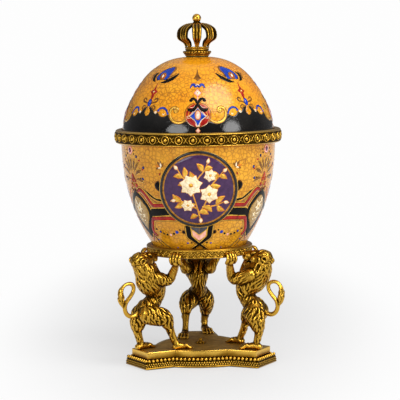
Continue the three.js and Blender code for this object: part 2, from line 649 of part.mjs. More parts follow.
function archPath() {
  const foot = CROWN_BAND_RADIUS - ARCH_THICK / 2 - ARCH_FOOT_INSET;
  const bulge = ARCH_BULGE_RADIUS - foot;
  const topRadius = CAP_SPIGOT_RADIUS + CLEARANCE;
  return new THREE.CatmullRomCurve3([
    ...ARCH_LINE.map(([out, up]) => spot(foot + bulge * out, 0, CROWN_BAND_TOP + ARCH_HEIGHT * up)),
    spot(topRadius + 0.9 * ARCH_THICK, 0, ARCH_TOP_Z - 0.5 * ARCH_THICK),
    spot(topRadius, 0, ARCH_TOP_Z - 0.78 * ARCH_THICK),
  ]);
}

// One leaf shaped arch of the crown in the plane y = 0
function archBody() {
  const path = archPath();
  const steps = 14;
  const rings = [];
  const poles = [];
  for (let k = 0; k <= steps; k += 1) {
    const share = k / steps;
    const middle = path.getPoint(share);
    const along = path.getTangent(share);
    if (k === 0) along.set(0, 0, 1);
    if (k === steps) along.set(-1, 0, 0);
    const outward = spot(along.z, 0, -along.x);
    const fit = 0.9 * Math.tan(Math.PI / ARCH_COUNT) * (middle.x - ARCH_THICK / 2);
    const leaf = Math.sin(Math.PI * Math.min(share * 1.15, 1) ** 0.9) ** 0.8;
    const half = Math.min(fit, (ARCH_TIP_WIDTH + (ARCH_WIDTH - ARCH_TIP_WIDTH) * leaf) / 2);
    const corners = [[-half, -0.5], [half, -0.5], [half, 0.25], [0.45 * half, 0.5], [-0.45 * half, 0.5],
      [-half, 0.25]];
    rings.push(corners.map(([across, deep]) => spot(middle.x, across, middle.z)
      .addScaledVector(outward, deep * ARCH_THICK)));
    poles.push(middle);
  }
  return loft(rings, poles[0], poles[steps]);
}

function buildCrown() {
  const hole = ROD_RADIUS + CLEARANCE;
  const pad = CROWN_FLANGE_RADIUS - PAD_INSET;
  const groove = CROWN_BAND_RADIUS - CROWN_GROOVE;
  const beadTop = CROWN_LEDGE_Z + CROWN_BEAD_HEIGHT;
  addPiece('crown_pad', turned([
    [hole, LID_SEAT_Z], [pad, LID_SEAT_Z], [pad, CROWN_Z], [hole, CROWN_Z],
  ], MEDIUM_STEPS), FELT);
  addPiece('crown_base', turned([
    [hole, CROWN_Z], [CROWN_FLANGE_RADIUS, CROWN_Z], [CROWN_FLANGE_RADIUS, CROWN_Z + CROWN_FLANGE_THICK],
    [CROWN_LEDGE_RADIUS, CROWN_Z + CROWN_FLANGE_THICK + CROWN_FLARE], [CROWN_LEDGE_RADIUS, CROWN_LEDGE_Z],
    [groove, CROWN_LEDGE_Z], [groove, beadTop + CLEARANCE],
    [CROWN_BAND_RADIUS, beadTop + CLEARANCE + CROWN_BAND_STEP], [CROWN_BAND_RADIUS, CROWN_BAND_TOP],
    [hole, CROWN_BAND_TOP],
  ], MEDIUM_STEPS), BRASS);
  addPiece('crown_bead_ring', turned([
    [groove + CLEARANCE, CROWN_LEDGE_Z], [CROWN_BEAD_RADIUS - CROWN_BEAD_CHAMFER, CROWN_LEDGE_Z],
    [CROWN_BEAD_RADIUS, CROWN_LEDGE_Z + CROWN_BEAD_CHAMFER], [CROWN_BEAD_RADIUS, beadTop - CROWN_BEAD_CHAMFER],
    [CROWN_BEAD_RADIUS - CROWN_BEAD_CHAMFER, beadTop], [groove + CLEARANCE, beadTop],
  ], MEDIUM_STEPS), BRASS);
  const arch = archBody();
  for (let k = 0; k < ARCH_COUNT; k += 1) {
    addPiece(`crown_arch_${k + 1}`, arch, BRASS, object, radians(-90) + (2 * Math.PI * k) / ARCH_COUNT);
  }
  const spigotZ = ARCH_TOP_Z - CAP_SPIGOT_LENGTH;
  const pinZ = CAP_TOP - ORB_PIN_LENGTH;
  const orbZ = CAP_TOP + ORB_RISE;
  addPiece('crown_cap', turned([
    [hole, spigotZ], [CAP_SPIGOT_RADIUS, spigotZ], [CAP_SPIGOT_RADIUS, ARCH_TOP_Z],
    [CAP_RADIUS, ARCH_TOP_Z], [CAP_RADIUS, CAP_TOP - CAP_CHAMFER], [CAP_RADIUS - CAP_CHAMFER, CAP_TOP],
    [hole, CAP_TOP],
  ], SMALL_STEPS), BRASS);
  const orb = [[0, pinZ], [ORB_PIN_RADIUS, pinZ], [ORB_PIN_RADIUS, CAP_TOP]];
  const from = Math.asin(-ORB_RISE / ORB_RADIUS);
  for (const angle of spread(from, Math.PI / 2, 9).slice(0, -1)) {
    orb.push([ORB_RADIUS * Math.cos(angle), orbZ + ORB_RADIUS * Math.sin(angle)]);
  }
  orb.push([0, orbZ + ORB_RADIUS]);
  addPiece('crown_orb', turned(orb, SMALL_STEPS), POLISHED_BRASS);

  const washerZ = LID_CEILING_Z - LID_WASHER_THICK;
  const nutZ = washerZ - LID_NUT_HEIGHT;
  addPiece('crown_rod', rod(ROD_RADIUS, nutZ - ROD_END, pinZ - CLEARANCE), POLISHED_BRASS);
  addPiece('lid_washer', turned([
    [hole, washerZ], [LID_WASHER_RADIUS, washerZ], [LID_WASHER_RADIUS, LID_CEILING_Z],
    [hole, LID_CEILING_Z],
  ], SMALL_STEPS), POLISHED_BRASS);
  addPiece('lid_nut', nut(LID_NUT_RADIUS, hole, nutZ, washerZ), POLISHED_BRASS);
}

buildBase();
buildLions();
buildCradle();
buildBowl();
buildCollar();
buildMedallions();
buildLid();
buildCrown();

export default object;
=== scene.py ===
"""Egg trinket box on a stand of three brass lions: the finished look over the fixed frame."""
import math
import bpy
import numpy as np
from mathutils import Matrix


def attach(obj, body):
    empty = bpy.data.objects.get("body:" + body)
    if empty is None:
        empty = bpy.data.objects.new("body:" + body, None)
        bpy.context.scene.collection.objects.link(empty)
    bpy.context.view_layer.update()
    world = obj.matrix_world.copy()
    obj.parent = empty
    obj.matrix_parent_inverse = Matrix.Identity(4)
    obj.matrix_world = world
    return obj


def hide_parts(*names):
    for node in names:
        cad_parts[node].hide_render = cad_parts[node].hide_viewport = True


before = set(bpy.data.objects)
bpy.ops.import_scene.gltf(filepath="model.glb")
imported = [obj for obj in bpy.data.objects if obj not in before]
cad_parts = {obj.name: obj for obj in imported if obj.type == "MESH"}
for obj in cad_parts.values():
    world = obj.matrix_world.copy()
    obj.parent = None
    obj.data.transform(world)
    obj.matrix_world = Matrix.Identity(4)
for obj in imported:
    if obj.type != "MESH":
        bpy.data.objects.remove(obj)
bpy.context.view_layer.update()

MM = 0.001
TAU = 2.0 * math.pi

# Sizes in millimetres, as the frame has them
STAND_TURN = math.radians(1.5)
LION_ANGLES = [math.radians(a) for a in (210.0, 330.0, 90.0)]
FELT_TOP, FOOT_TOP, PLINTH_TOP = 0.8, 10.0, 17.0
LOBE_REACH, LOBE_HALF = 75.1, 20.25
NOTCH_RADIUS, NOTCH_ANGLE, BULGE_RADIUS = 50.3, math.radians(34.5), 46.7
PLINTH_INSET = 4.7
CRADLE_BOTTOM, CRADLE_TOP = 109.0, 118.6
BOWL_FOOT, BOWL_SHOULDER, BOWL_RIM = 113.6, 224.9, 226.0
BOWL_RADIUS, BOWL_POWER, BOWL_ROUND = 76.66, 2.136, 1.337
BOWL_CURVE = 0.744 / 111.3
BOWL_WALL, BOWL_FLOOR = 4.5, 118.6
COLLAR_LOW, COLLAR_TOP, COLLAR_RADIUS = 219.7, 233.7, 83.5
MEDALLION_Z, MEDALLION_RADIUS = 179.0, 38.0
LID_RIM, LID_SHOULDER, LID_SEAT = 228.3, 232.9, 304.4
LID_RADIUS, LID_HEIGHT, LID_POWER, LID_ROUND = 74.86, 72.0, 1.408, 2.728
LID_WALL, LID_TONGUE_LOW = 4.4, 223.7
TONGUE_INNER, TONGUE_OUTER = 67.3, 70.3
ROD_HOLE, BOLT_HOLE = 1.9, 3.3
VINE_WAVES, VINE_WAVE = 48, 6.98
CROWN_LOW, CROWN_BAND_TOP, ARCH_TOP = 305.2, 314.5, 338.0
CAP_TOP, ORB_Z, ORB_RADIUS = 339.6, 342.6, 4.4

# The photograph's camera, in metres, and the point that the lamps face
CAMERA_DISTANCE = 1.700
CAMERA_HEIGHT = 0.1618
CAMERA_PITCH = math.radians(5.64)
CAMERA_ROLL = math.radians(0.69)
CAMERA_ASIDE = 0.0011
CAMERA_LENS = 153.0
LAMP_TARGET = (0.0, 0.0, 0.2)


# Meshes from grids

def part_of(co, quads, tris=None, relief=None):
    """A part in millimetres: points, faces by vertex number, each point's relief and each face's slot."""
    tris = np.zeros((0, 3), int) if tris is None else tris
    relief = np.zeros(len(co)) if relief is None else np.asarray(relief, float).reshape(-1)
    return {"co": co, "quads": quads, "tris": tris, "relief": relief,
            "slots": np.zeros(len(quads), int), "tri_slots": np.zeros(len(tris), int)}


def copies(co, quads, tris, relief=None):
    """Many parts that have the same faces, as one: co is (copies, points, 3)."""
    shift = (np.arange(len(co)) * co.shape[1])[:, None, None]
    return part_of(co.reshape(-1, 3), (quads[None] + shift).reshape(-1, 4),
                   (tris[None] + shift).reshape(-1, 3), relief)


def grid(points, wrap_u=False, wrap_v=False, relief=None, slots=None):
    """A skin over a grid of points (u, v, 3): neighbours in u and v are joined by quads."""
    nu, nv = points.shape[:2]
    index = np.arange(nu * nv).reshape(nu, nv)
    rows = np.arange(nu if wrap_u else nu - 1)
    cols = np.arange(nv if wrap_v else nv - 1)
    r, c = np.meshgrid(rows, cols, indexing="ij")
    r2, c2 = (r + 1) % nu, (c + 1) % nv
    quads = np.stack([index[r, c], index[r2, c], index[r2, c2], index[r, c2]], -1).reshape(-1, 4)
    part = part_of(points.reshape(-1, 3).astype(float), quads, relief=relief)
    if slots is not None:
        part["slots"] = np.asarray(slots)[c].reshape(-1)
    return part


def cap(part, ring, pole, slot=0):
    """Closes an open ring of vertex numbers with a fan round a pole point."""
    tip = len(part["co"])
    part["co"] = np.vstack([part["co"], pole])
    part["relief"] = np.append(part["relief"], part["relief"][ring].mean())
    fan = np.stack([ring, np.roll(ring, -1), np.full(len(ring), tip)], -1)
    part["tris"] = np.vstack([part["tris"], fan])
    part["tri_slots"] = np.append(part["tri_slots"], np.full(len(ring), slot))
    return part


def tube_part(rings, relief=None, first=None, last=None):
    """A closed tube over rings (stations, sides, 3), its ends closed by fans round a pole each."""
    n, sides = rings.shape[:2]
    part = grid(rings, wrap_v=True, relief=relief)
    cap(part, np.arange(sides)[::-1], rings[0].mean(0) if first is None else first)
    cap(part, (n - 1) * sides + np.arange(sides), rings[-1].mean(0) if last is None else last)
    return turn_out(part)


def face_normals(co, faces):
    """Area normals of quads or triangles, from their diagonals or edges."""
    if faces.shape[1] == 4:
        return np.cross(co[faces[:, 2]] - co[faces[:, 0]], co[faces[:, 3]] - co[faces[:, 1]]) * 0.5
    return np.cross(co[faces[:, 1]] - co[faces[:, 0]], co[faces[:, 2]] - co[faces[:, 0]]) * 0.5


def turn_out(part, inside=None):
    """Flips the faces if, summed up, they look toward the inside point."""
    co = part["co"]
    inside = co.mean(0) if inside is None else np.asarray(inside, float)
    total = 0.0
    for key in ("quads", "tris"):
        faces = part[key]
        if len(faces):
            total += float((face_normals(co, faces) * (co[faces].mean(1) - inside)).sum())
    if total < 0:
        part["quads"] = part["quads"][:, ::-1]
        part["tris"] = part["tris"][:, ::-1]
    return part


def joined(parts):
    """Several parts as one, with their vertex numbers shifted."""
    shift = np.cumsum([0] + [len(p["co"]) for p in parts[:-1]])
    out = {key: np.concatenate([p[key] for p in parts]) for key in ("co", "relief", "slots", "tri_slots")}
    for key in ("quads", "tris"):
        out[key] = np.vstack([p[key] + first for p, first in zip(parts, shift)])
    return out


def turned_z(part, angle):
    """The part turned about the Z axis."""
    c, s = math.cos(angle), math.sin(angle)
    co = part["co"]
    turned = np.stack([co[:, 0] * c - co[:, 1] * s, co[:, 0] * s + co[:, 1] * c, co[:, 2]], -1)
    return {**part, "co": turned}


def mesh_of(name, part):
    """A Blender mesh in metres from a part in millimetres, with its relief as an attribute."""
    mesh = bpy.data.meshes.new(name)
    quads, tris = part["quads"], part["tris"]
    mesh.vertices.add(len(part["co"]))
    mesh.vertices.foreach_set("co", (part["co"] * MM).astype(np.float32).ravel())
    corners = np.concatenate([quads.ravel(), tris.ravel()]).astype(np.int32)
    totals = np.concatenate([np.full(len(quads), 4), np.full(len(tris), 3)]).astype(np.int32)
    starts = np.concatenate([[0], np.cumsum(totals)[:-1]]).astype(np.int32)
    mesh.loops.add(len(corners))
    mesh.loops.foreach_set("vertex_index", corners)
    mesh.polygons.add(len(totals))
    mesh.polygons.foreach_set("loop_start", starts)
    mesh.polygons.foreach_set("loop_total", totals)
    slots = np.concatenate([part["slots"], part["tri_slots"]]).astype(np.int32)
    mesh.polygons.foreach_set("material_index", slots)
    mesh.polygons.foreach_set("use_smooth", np.ones(len(totals), bool))
    layer = mesh.attributes.new("relief", "FLOAT", "POINT")
    layer.data.foreach_set("value", part["relief"].astype(np.float32))
    mesh.update(calc_edges=True)
    mesh.validate()
    return mesh


def piece(name, part, body, materials, replaces=()):
    """A finished piece: its mesh, its materials, the body it rides on and the nodes it stands for."""
    obj = bpy.data.objects.new(name, mesh_of(name, part))
    bpy.context.scene.collection.objects.link(obj)
    for material in materials:
        obj.data.materials.append(material)
    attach(obj, body)
    if replaces:
        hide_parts(*replaces)
    return obj


def round_corners(outline, radius, closed=True, steps=4):
    """An outline (n, 2) with each corner cut by a quadratic curve between two points near it."""
    pts = np.asarray(outline, float)
    to_before, to_after = np.roll(pts, 1, 0) - pts, np.roll(pts, -1, 0) - pts
    before = np.linalg.norm(to_before, axis=1, keepdims=True)
    after = np.linalg.norm(to_after, axis=1, keepdims=True)
    cut = np.minimum(radius, np.minimum(before, after) * 0.45)
    a = (pts + to_before / before * cut)[:, None, :]
    b = (pts + to_after / after * cut)[:, None, :]
    t = np.linspace(0.0, 1.0, steps)[None, :, None]
    arcs = (1 - t) ** 2 * a + 2 * t * (1 - t) * pts[:, None, :] + t ** 2 * b
    if not closed:
        arcs[0], arcs[-1] = pts[0], pts[-1]
    return arcs.reshape(-1, 2)


def turns(steps):
    """Angles that step evenly round a circle."""
    return np.arange(steps) / steps * TAU


def around(r, z, angle):
    """Points at radius r and height z, turned about the Z axis: x = r cos a, y = r sin a."""
    r, z, angle = np.broadcast_arrays(r, z, angle)
    return np.stack([r * np.cos(angle), r * np.sin(angle), z], -1)


def revolve(profile, steps=144, slots=None, relief=0.0):
    """A closed profile (n, 2) of radius and height, turned about the Z axis."""
    profile = np.asarray(profile, float)
    angle = np.linspace(0.0, TAU, steps, endpoint=False)[:, None]
    points = around(profile[:, 0], profile[:, 1], angle)
    part = grid(points, True, True, np.full(points.shape[:2], relief), slots)
    return turn_out(part, (0.0, 0.0, float(np.mean(profile[:, 1]))))


def hoop(r, z, angle, relief):
    """A closed section of radius r and height z, carried round the Z axis with a relief of its own."""
    points = around(r, z, angle[:, None])
    return turn_out(grid(points, True, True, relief), (0.0, 0.0, float(np.mean(z))))


def spline(knots, count):
    """A smooth path through knots: the Catmull-Rom curve, sampled evenly in each span."""
    knots = np.asarray(knots, float)
    padded = np.vstack([2 * knots[0] - knots[1], knots, 2 * knots[-1] - knots[-2]])
    t = np.linspace(0.0, len(knots) - 1, count)
    k = np.minimum(t.astype(int), len(knots) - 2)
    f = (t - k)[:, None]
    p0, p1, p2, p3 = (padded[k + j] for j in range(4))
    return 0.5 * (2 * p1 + (p2 - p0) * f + (2 * p0 - 5 * p1 + 4 * p2 - p3) * f ** 2
                  + (3 * p1 - p0 - 3 * p2 + p3) * f ** 3)


def blob(centre, radii, rings=7, sides=16):
    """An ellipsoid with its poles along z."""
    lat = np.linspace(-math.pi / 2, math.pi / 2, rings + 2)[1:-1]
    lon = turns(sides)
    x = np.outer(np.cos(lat), np.cos(lon)) * radii[0] + centre[0]
    y = np.outer(np.cos(lat), np.sin(lon)) * radii[1] + centre[1]
    z = np.outer(np.sin(lat), np.ones(sides)) * radii[2] + centre[2]
    low = (centre[0], centre[1], centre[2] - radii[2])
    high = (centre[0], centre[1], centre[2] + radii[2])
    return tube_part(np.stack([x, y, z], -1), first=low, last=high)


def ball_parts(centres, radius, rings, sides):
    """Small balls at centres (n, 3), all in one part."""
    one = blob((0.0, 0.0, 0.0), (radius, radius, radius), rings, sides)
    # Each ball is lighter at its top and darker at its foot: a painted highlight and painted shade.
    relief = np.tile(one["co"][:, 2] / radius * 0.5 + 0.75, len(centres))
    return copies(one["co"] + centres[:, None, :], one["quads"], one["tris"], relief)


def smooth_step(x, low, high):
    """0 below low, 1 above high and a smooth S between: 3 t^2 - 2 t^3."""
    t = np.clip((x - low) / (high - low), 0.0, 1.0)
    return t * t * (3.0 - 2.0 * t)


def bump(x, middle, width):
    """A rounded bump: exp of minus the squared distance from its middle over its width."""
    return np.exp(-((x - middle) / width) ** 2)


# Shapes of the egg

def bowl_radius(z):
    """Outer radius of the bowl: R (1 - (drop c)^p)^(1/q)."""
    drop = np.maximum(BOWL_SHOULDER - z, 0.0) * BOWL_CURVE
    return BOWL_RADIUS * (1.0 - drop ** BOWL_POWER) ** (1.0 / BOWL_ROUND)


def lid_radius(z, wall=0.0):
    """Outer radius of the dome, or that of its inner face at a wall's distance."""
    rise = np.clip((z - LID_SHOULDER) / (LID_HEIGHT - wall), 0.0, 1.0)
    return (LID_RADIUS - wall) * (1.0 - rise ** LID_POWER) ** (1.0 / LID_ROUND)


# Materials

def fill(tree, made, inputs):
    """Feeds a node's inputs: an output is linked to its input, a plain value is set on it."""
    for key, value in inputs.items():
        if isinstance(value, bpy.types.NodeSocket):
            tree.links.new(value, made.inputs[key])
        else:
            made.inputs[key].default_value = value


def node(tree, kind, inputs=None, **settings):
    """A new node of a kind, with its settings and its inputs."""
    made = tree.nodes.new(kind)
    for key, value in settings.items():
        setattr(made, key, value)
    fill(tree, made, inputs or {})
    return made


def new_material(name):
    """A new material with its tree, its shader and the object coordinates that its patterns lie in."""
    material = bpy.data.materials.new(name)
    material.use_nodes = True
    tree = material.node_tree
    return material, tree, tree.nodes["Principled BSDF"], node(tree, "ShaderNodeTexCoord").outputs["Object"]


def mix_colour(tree, factor, a, b):
    """Colour a, going over to b as the factor goes from 0 to 1."""
    return node(tree, "ShaderNodeMix", {0: factor, 6: a, 7: b}, data_type="RGBA").outputs[2]


def maths(tree, operation, *values):
    """One step of arithmetic on its values."""
    return node(tree, "ShaderNodeMath", dict(enumerate(values)), operation=operation).outputs[0]


def vectors(tree, operation, inputs):
    """One step of arithmetic on vectors."""
    return node(tree, "ShaderNodeVectorMath", inputs, operation=operation).outputs


def ranged(tree, value, low, high, to_low=0.0, to_high=1.0):
    """A value's way from low to high as its way from to_low to to_high, held at both ends."""
    return node(tree, "ShaderNodeMapRange", {0: value, 1: low, 2: high, 3: to_low, 4: to_high}).outputs[0]


def noise(tree, coords, scale, detail=3.0, roughness=0.5):
    """Cloudy noise about 0.5."""
    return node(tree, "ShaderNodeTexNoise", {"Vector": coords, "Scale": scale, "Detail": detail,
                                             "Roughness": roughness}).outputs["Fac"]


def cracks(tree, coords, scale, randomness):
    """How far a point is from the nearest line of a crackle net."""
    return node(tree, "ShaderNodeTexVoronoi", {"Vector": coords, "Scale": scale, "Randomness": randomness},
                feature="DISTANCE_TO_EDGE").outputs["Distance"]


def bumped(tree, height, strength, distance):
    """The normal of a surface whose height follows a pattern."""
    return node(tree, "ShaderNodeBump", {"Strength": strength, "Distance": distance,
                                         "Height": height}).outputs[0]


def ramp(tree, factor, *stops, interpolation="LINEAR"):
    """A colour that runs through stops of position and colour."""
    made = node(tree, "ShaderNodeValToRGB", {0: factor})
    made.color_ramp.interpolation = interpolation
    elements = made.color_ramp.elements
    for k, (position, colour) in ((0, stops[0]), (1, stops[-1])):
        elements[k].position, elements[k].color = position, colour
    for position, colour in stops[1:-1]:
        elements.new(position).color = colour
    return made.outputs[0]


def rgb(r, g, b):
    """A colour of the photograph, 0 to 255, as the shader's linear colour."""
    c = np.array([r, g, b]) / 255.0
    linear = np.where(c <= 0.04045, c / 12.92, ((c + 0.055) / 1.055) ** 2.4)
    return (*(float(v) for v in linear), 1.0)


def grey(value):
    """A neutral linear colour."""
    return (value, value, value, 1.0)


def amber_glaze():
    """Amber glaze, deeper on the dome, with a net of fine brown crackle under the gloss."""
    material, tree, shader, coords = new_material("amber crackle glaze")
    height = node(tree, "ShaderNodeSeparateXYZ", {0: coords}).outputs[2]
    wobble = node(tree, "ShaderNodeTexNoise", {"Vector": coords, "Scale": 150.0, "Detail": 2.0})
    shift = vectors(tree, "SUBTRACT", {0: wobble.outputs["Color"], 1: (0.5, 0.5, 0.5)})[0]
    shift = vectors(tree, "SCALE", {0: shift, 3: 0.0022})[0]
    bent = vectors(tree, "ADD", {0: coords, 1: shift})[0]
    cells = cracks(tree, bent, 250.0, 0.8)
    tone = node(tree, "ShaderNodeTexVoronoi", {"Vector": bent, "Scale": 250.0, "Randomness": 0.8})
    tone = node(tree, "ShaderNodeSeparateColor", {0: tone.outputs["Color"]}).outputs[0]
    patches = ranged(tree, noise(tree, coords, 26.0, 5.0, 0.6), 0.32, 0.68)
    strength = ranged(tree, noise(tree, coords, 40.0), 0.30, 0.62, 0.3, 1.0)
    line = maths(tree, "MULTIPLY", ranged(tree, cells, 0.0, 0.11, 1.0, 0.0), strength)
    halo = maths(tree, "MULTIPLY", ranged(tree, cells, 0.0, 0.3, 1.0, 0.0), strength)
    low = mix_colour(tree, patches, rgb(202, 136, 20), rgb(228, 166, 38))
    high = mix_colour(tree, patches, rgb(228, 142, 12), rgb(238, 168, 32))
    colour = mix_colour(tree, ranged(tree, height, 0.215, 0.262), low, high)
    colour = mix_colour(tree, ranged(tree, tone, 0.0, 1.0, 0.0, 0.16), colour, rgb(184, 108, 12))
    colour = mix_colour(tree, maths(tree, "MULTIPLY", halo, 0.3), colour, rgb(156, 88, 10))
    colour = mix_colour(tree, maths(tree, "MULTIPLY", line, 0.68), colour, rgb(112, 58, 8))
    fill(tree, shader, {"Base Color": colour, "Roughness": 0.2, "Specular IOR Level": 0.3,
                        "Coat Weight": 0.1, "Coat Roughness": 0.05,
                        "Normal": bumped(tree, maths(tree, "SUBTRACT", 1.0, line), 0.25, 0.00012)})
    return material


def enamel(name, first, second, roughness=0.22, metallic=0.0, scale=260.0, coat=0.0, specular=0.28):
    """Painted enamel: two near tones in small clouds, with a faint crackle in the gloss."""
    material, tree, shader, coords = new_material(name)
    clouds = ranged(tree, noise(tree, coords, scale), 0.32, 0.68)
    net = ranged(tree, cracks(tree, coords, 225.0, 0.85), 0.0, 0.06)
    fill(tree, shader, {"Base Color": mix_colour(tree, clouds, first, second), "Metallic": metallic,
                        "Roughness": ranged(tree, clouds, 0.0, 1.0, roughness * 0.8, roughness * 1.25),
                        "Coat Weight": coat, "Coat Roughness": 0.05, "Specular IOR Level": specular,
                        "Normal": bumped(tree, net, 0.2, 0.00008)})
    return material


def brass(name, bright, middle, dark, roughness=0.34, low=-0.5, high=0.6, grain=900.0):
    """Cast brass: dark patina in the hollows of the relief, rubbed bright on what stands proud; where a
    piece's relief also carries painted highlights or painted shade, this ramp shows them the same way.
    """
    material, tree, shader, coords = new_material(name)
    relief = node(tree, "ShaderNodeAttribute", attribute_name="relief").outputs["Fac"]
    cloud = maths(tree, "SUBTRACT", noise(tree, coords, 120.0, 4.0, 0.6), 0.5)
    fine = noise(tree, coords, grain, 3.0, 0.6)
    wear_and_painted_light = maths(tree, "ADD", relief, maths(tree, "MULTIPLY", cloud, 0.55))
    tint = ramp(tree, ranged(tree, wear_and_painted_light, low, high), (0.0, dark), (0.48, middle), (1.0, bright))
    polish = ranged(tree, wear_and_painted_light, low, high, roughness + 0.25, roughness - 0.06)
    tint = mix_colour(tree, ranged(tree, fine, 0.35, 0.65, 0.0, 0.3), tint, middle)
    fill(tree, shader, {"Base Color": tint, "Metallic": 1.0, "Normal": bumped(tree, fine, 0.35, 0.00015),
                        "Roughness": maths(tree, "ADD", polish, ranged(tree, fine, 0.3, 0.7, -0.05, 0.07))})
    return material


def plain(name, first, second, roughness, metallic=0.0, scale=300.0, depth=0.0002):
    """A quiet finish for hidden fittings: two tones, a grain and its bump."""
    material, tree, shader, coords = new_material(name)
    grain = noise(tree, coords, scale, 4.0, 0.6)
    fill(tree, shader, {"Base Color": mix_colour(tree, ranged(tree, grain, 0.3, 0.7), first, second),
                        "Roughness": ranged(tree, grain, 0.2, 0.8, roughness - 0.08, roughness + 0.08),
                        "Metallic": metallic, "Normal": bumped(tree, grain, 0.4, depth)})
    return material


AMBER = amber_glaze()
CREAM = enamel("cream glaze inside", rgb(226, 205, 160), rgb(238, 222, 184), 0.25, scale=60.0)
COLOURS = {
    "amber": AMBER,
    "black": enamel("black glaze", rgb(8, 7, 6), rgb(24, 22, 20), 0.1, scale=45.0, specular=0.42),
    "ink": enamel("black enamel", rgb(6, 5, 4), rgb(16, 13, 10), 0.3, specular=0.1),
    "navy": enamel("dark blue enamel", rgb(8, 16, 52), rgb(16, 30, 84)),
    "gold": enamel("gilt lines", rgb(196, 140, 34), rgb(236, 190, 76), 0.3, metallic=0.6, coat=0.2),
    "blue": enamel("blue enamel", rgb(3, 34, 128), rgb(10, 66, 178)),
    "red": enamel("red enamel", rgb(120, 10, 6), rgb(172, 28, 14)),
    "pink": enamel("pink enamel", rgb(226, 146, 128), rgb(244, 192, 172)),
    "ivory": enamel("ivory enamel", rgb(228, 206, 160), rgb(244, 228, 194)),
    "brown": enamel("brown enamel", rgb(96, 56, 8), rgb(134, 84, 16)),
    "tan": enamel("stone coloured enamel", rgb(158, 124, 70), rgb(184, 152, 98)),
    "purple": enamel("purple enamel", rgb(54, 29, 64), rgb(68, 40, 78), 0.14, coat=0.1),
    "grey": enamel("slate enamel", rgb(58, 58, 66), rgb(72, 72, 80)),
    "ochre": enamel("ochre enamel", rgb(186, 98, 16), rgb(214, 128, 28)),
    "aged": enamel("aged gilding", rgb(132, 82, 18), rgb(190, 130, 38), 0.3, metallic=0.3)}
CAST = brass("chased cast brass", rgb(214, 166, 60), rgb(124, 86, 18), rgb(20, 11, 1), 0.3)
SMOOTH = brass("rubbed brass", rgb(238, 190, 80), rgb(146, 106, 28), rgb(60, 40, 8), 0.24, -0.9, 0.9)
WEATHERED = brass("weathered brass", rgb(214, 168, 74), rgb(156, 118, 44), rgb(62, 42, 10), 0.46, -0.5,
                  0.05, 420.0)
POLISHED = brass("polished brass", rgb(246, 200, 92), rgb(206, 150, 50), rgb(96, 62, 14), 0.16, -0.9, 0.5)
FELT = plain("dark green felt", rgb(30, 62, 40), rgb(44, 82, 54), 0.92, scale=900.0, depth=0.0004)
CORK = plain("cork sheet", rgb(150, 106, 62), rgb(186, 140, 90), 0.85, scale=420.0, depth=0.0004)
ZINC = plain("zinc plated steel", rgb(150, 152, 156), rgb(186, 188, 192), 0.34, 1.0, 500.0, 0.00005)
TURNED = plain("turned brass", rgb(176, 132, 50), rgb(206, 160, 72), 0.32, 1.0, 600.0, 0.00005)


# Studio

def matrix_of(x_axis, y_axis, z_axis, place):
    """The matrix of an object with these axes at a place."""
    rows = [[x_axis[k], y_axis[k], z_axis[k], place[k]] for k in range(3)] + [[0.0, 0.0, 0.0, 1.0]]
    return Matrix(rows)


def lamp(name, place, width, height, power, mirrored=True):
    """An oval soft lamp that faces the egg; one that isn't mirrored leaves no image in the gloss."""
    light = bpy.data.lights.new(name, "AREA")
    light.shape = "ELLIPSE"
    light.size, light.size_y, light.energy = width, height, power
    obj = bpy.data.objects.new(name, light)
    bpy.context.scene.collection.objects.link(obj)
    away = np.array(place) - LAMP_TARGET
    away = away / np.linalg.norm(away)
    side = np.cross([0.0, 0.0, 1.0], away)
    side = side / np.linalg.norm(side)
    obj.matrix_world = matrix_of(side, np.cross(away, side), away, place)
    obj.visible_glossy = mirrored


def floor():
    """A pale floor with a painted shadow that greys it softly round the stand; the camera and the gloss see
    it lit from within.
    """
    points = np.stack(np.meshgrid(np.linspace(-6000, 6000, 25), np.linspace(-3000, 9000, 25), [0.0],
                                  indexing="ij"), -1)[:, :, 0, :]
    obj = bpy.data.objects.new("floor", mesh_of("floor", turn_out(grid(points), (0, 0, -100))))
    bpy.context.scene.collection.objects.link(obj)
    material, tree, shader, coords = new_material("pale floor")
    obj.data.materials.append(material)
    place = node(tree, "ShaderNodeMapping", {"Vector": coords, "Location": (0.0, -0.34, 0.0),
                                             "Scale": (3.9, 1.3, 0.0)}).outputs[0]
    far = vectors(tree, "LENGTH", {0: place})["Value"]
    # The grey near the stand is a painted shadow in the floor's glowing colour.
    tone = ramp(tree, far, (0.05, (0.70, 0.70, 0.705, 1.0)), (0.95, grey(0.985)), interpolation="EASE")
    glow_with_painted_shadow = node(tree, "ShaderNodeEmission", {"Color": tone, "Strength": 1.0})
    fill(tree, shader, {"Base Color": grey(0.85), "Roughness": 0.75})
    path = node(tree, "ShaderNodeLightPath").outputs
    seen = maths(tree, "MAXIMUM", path["Is Camera Ray"], path["Is Glossy Ray"])
    seen = maths(tree, "MAXIMUM", seen, path["Is Transmission Ray"])
    share = maths(tree, "MULTIPLY", seen, ranged(tree, far, 0.2, 1.0, 0.66, 1.0))
    both = node(tree, "ShaderNodeMixShader", {0: share, 1: shader.outputs[0], 2: glow_with_painted_shadow.outputs[0]})
    fill(tree, tree.nodes["Material Output"], {0: both.outputs[0]})


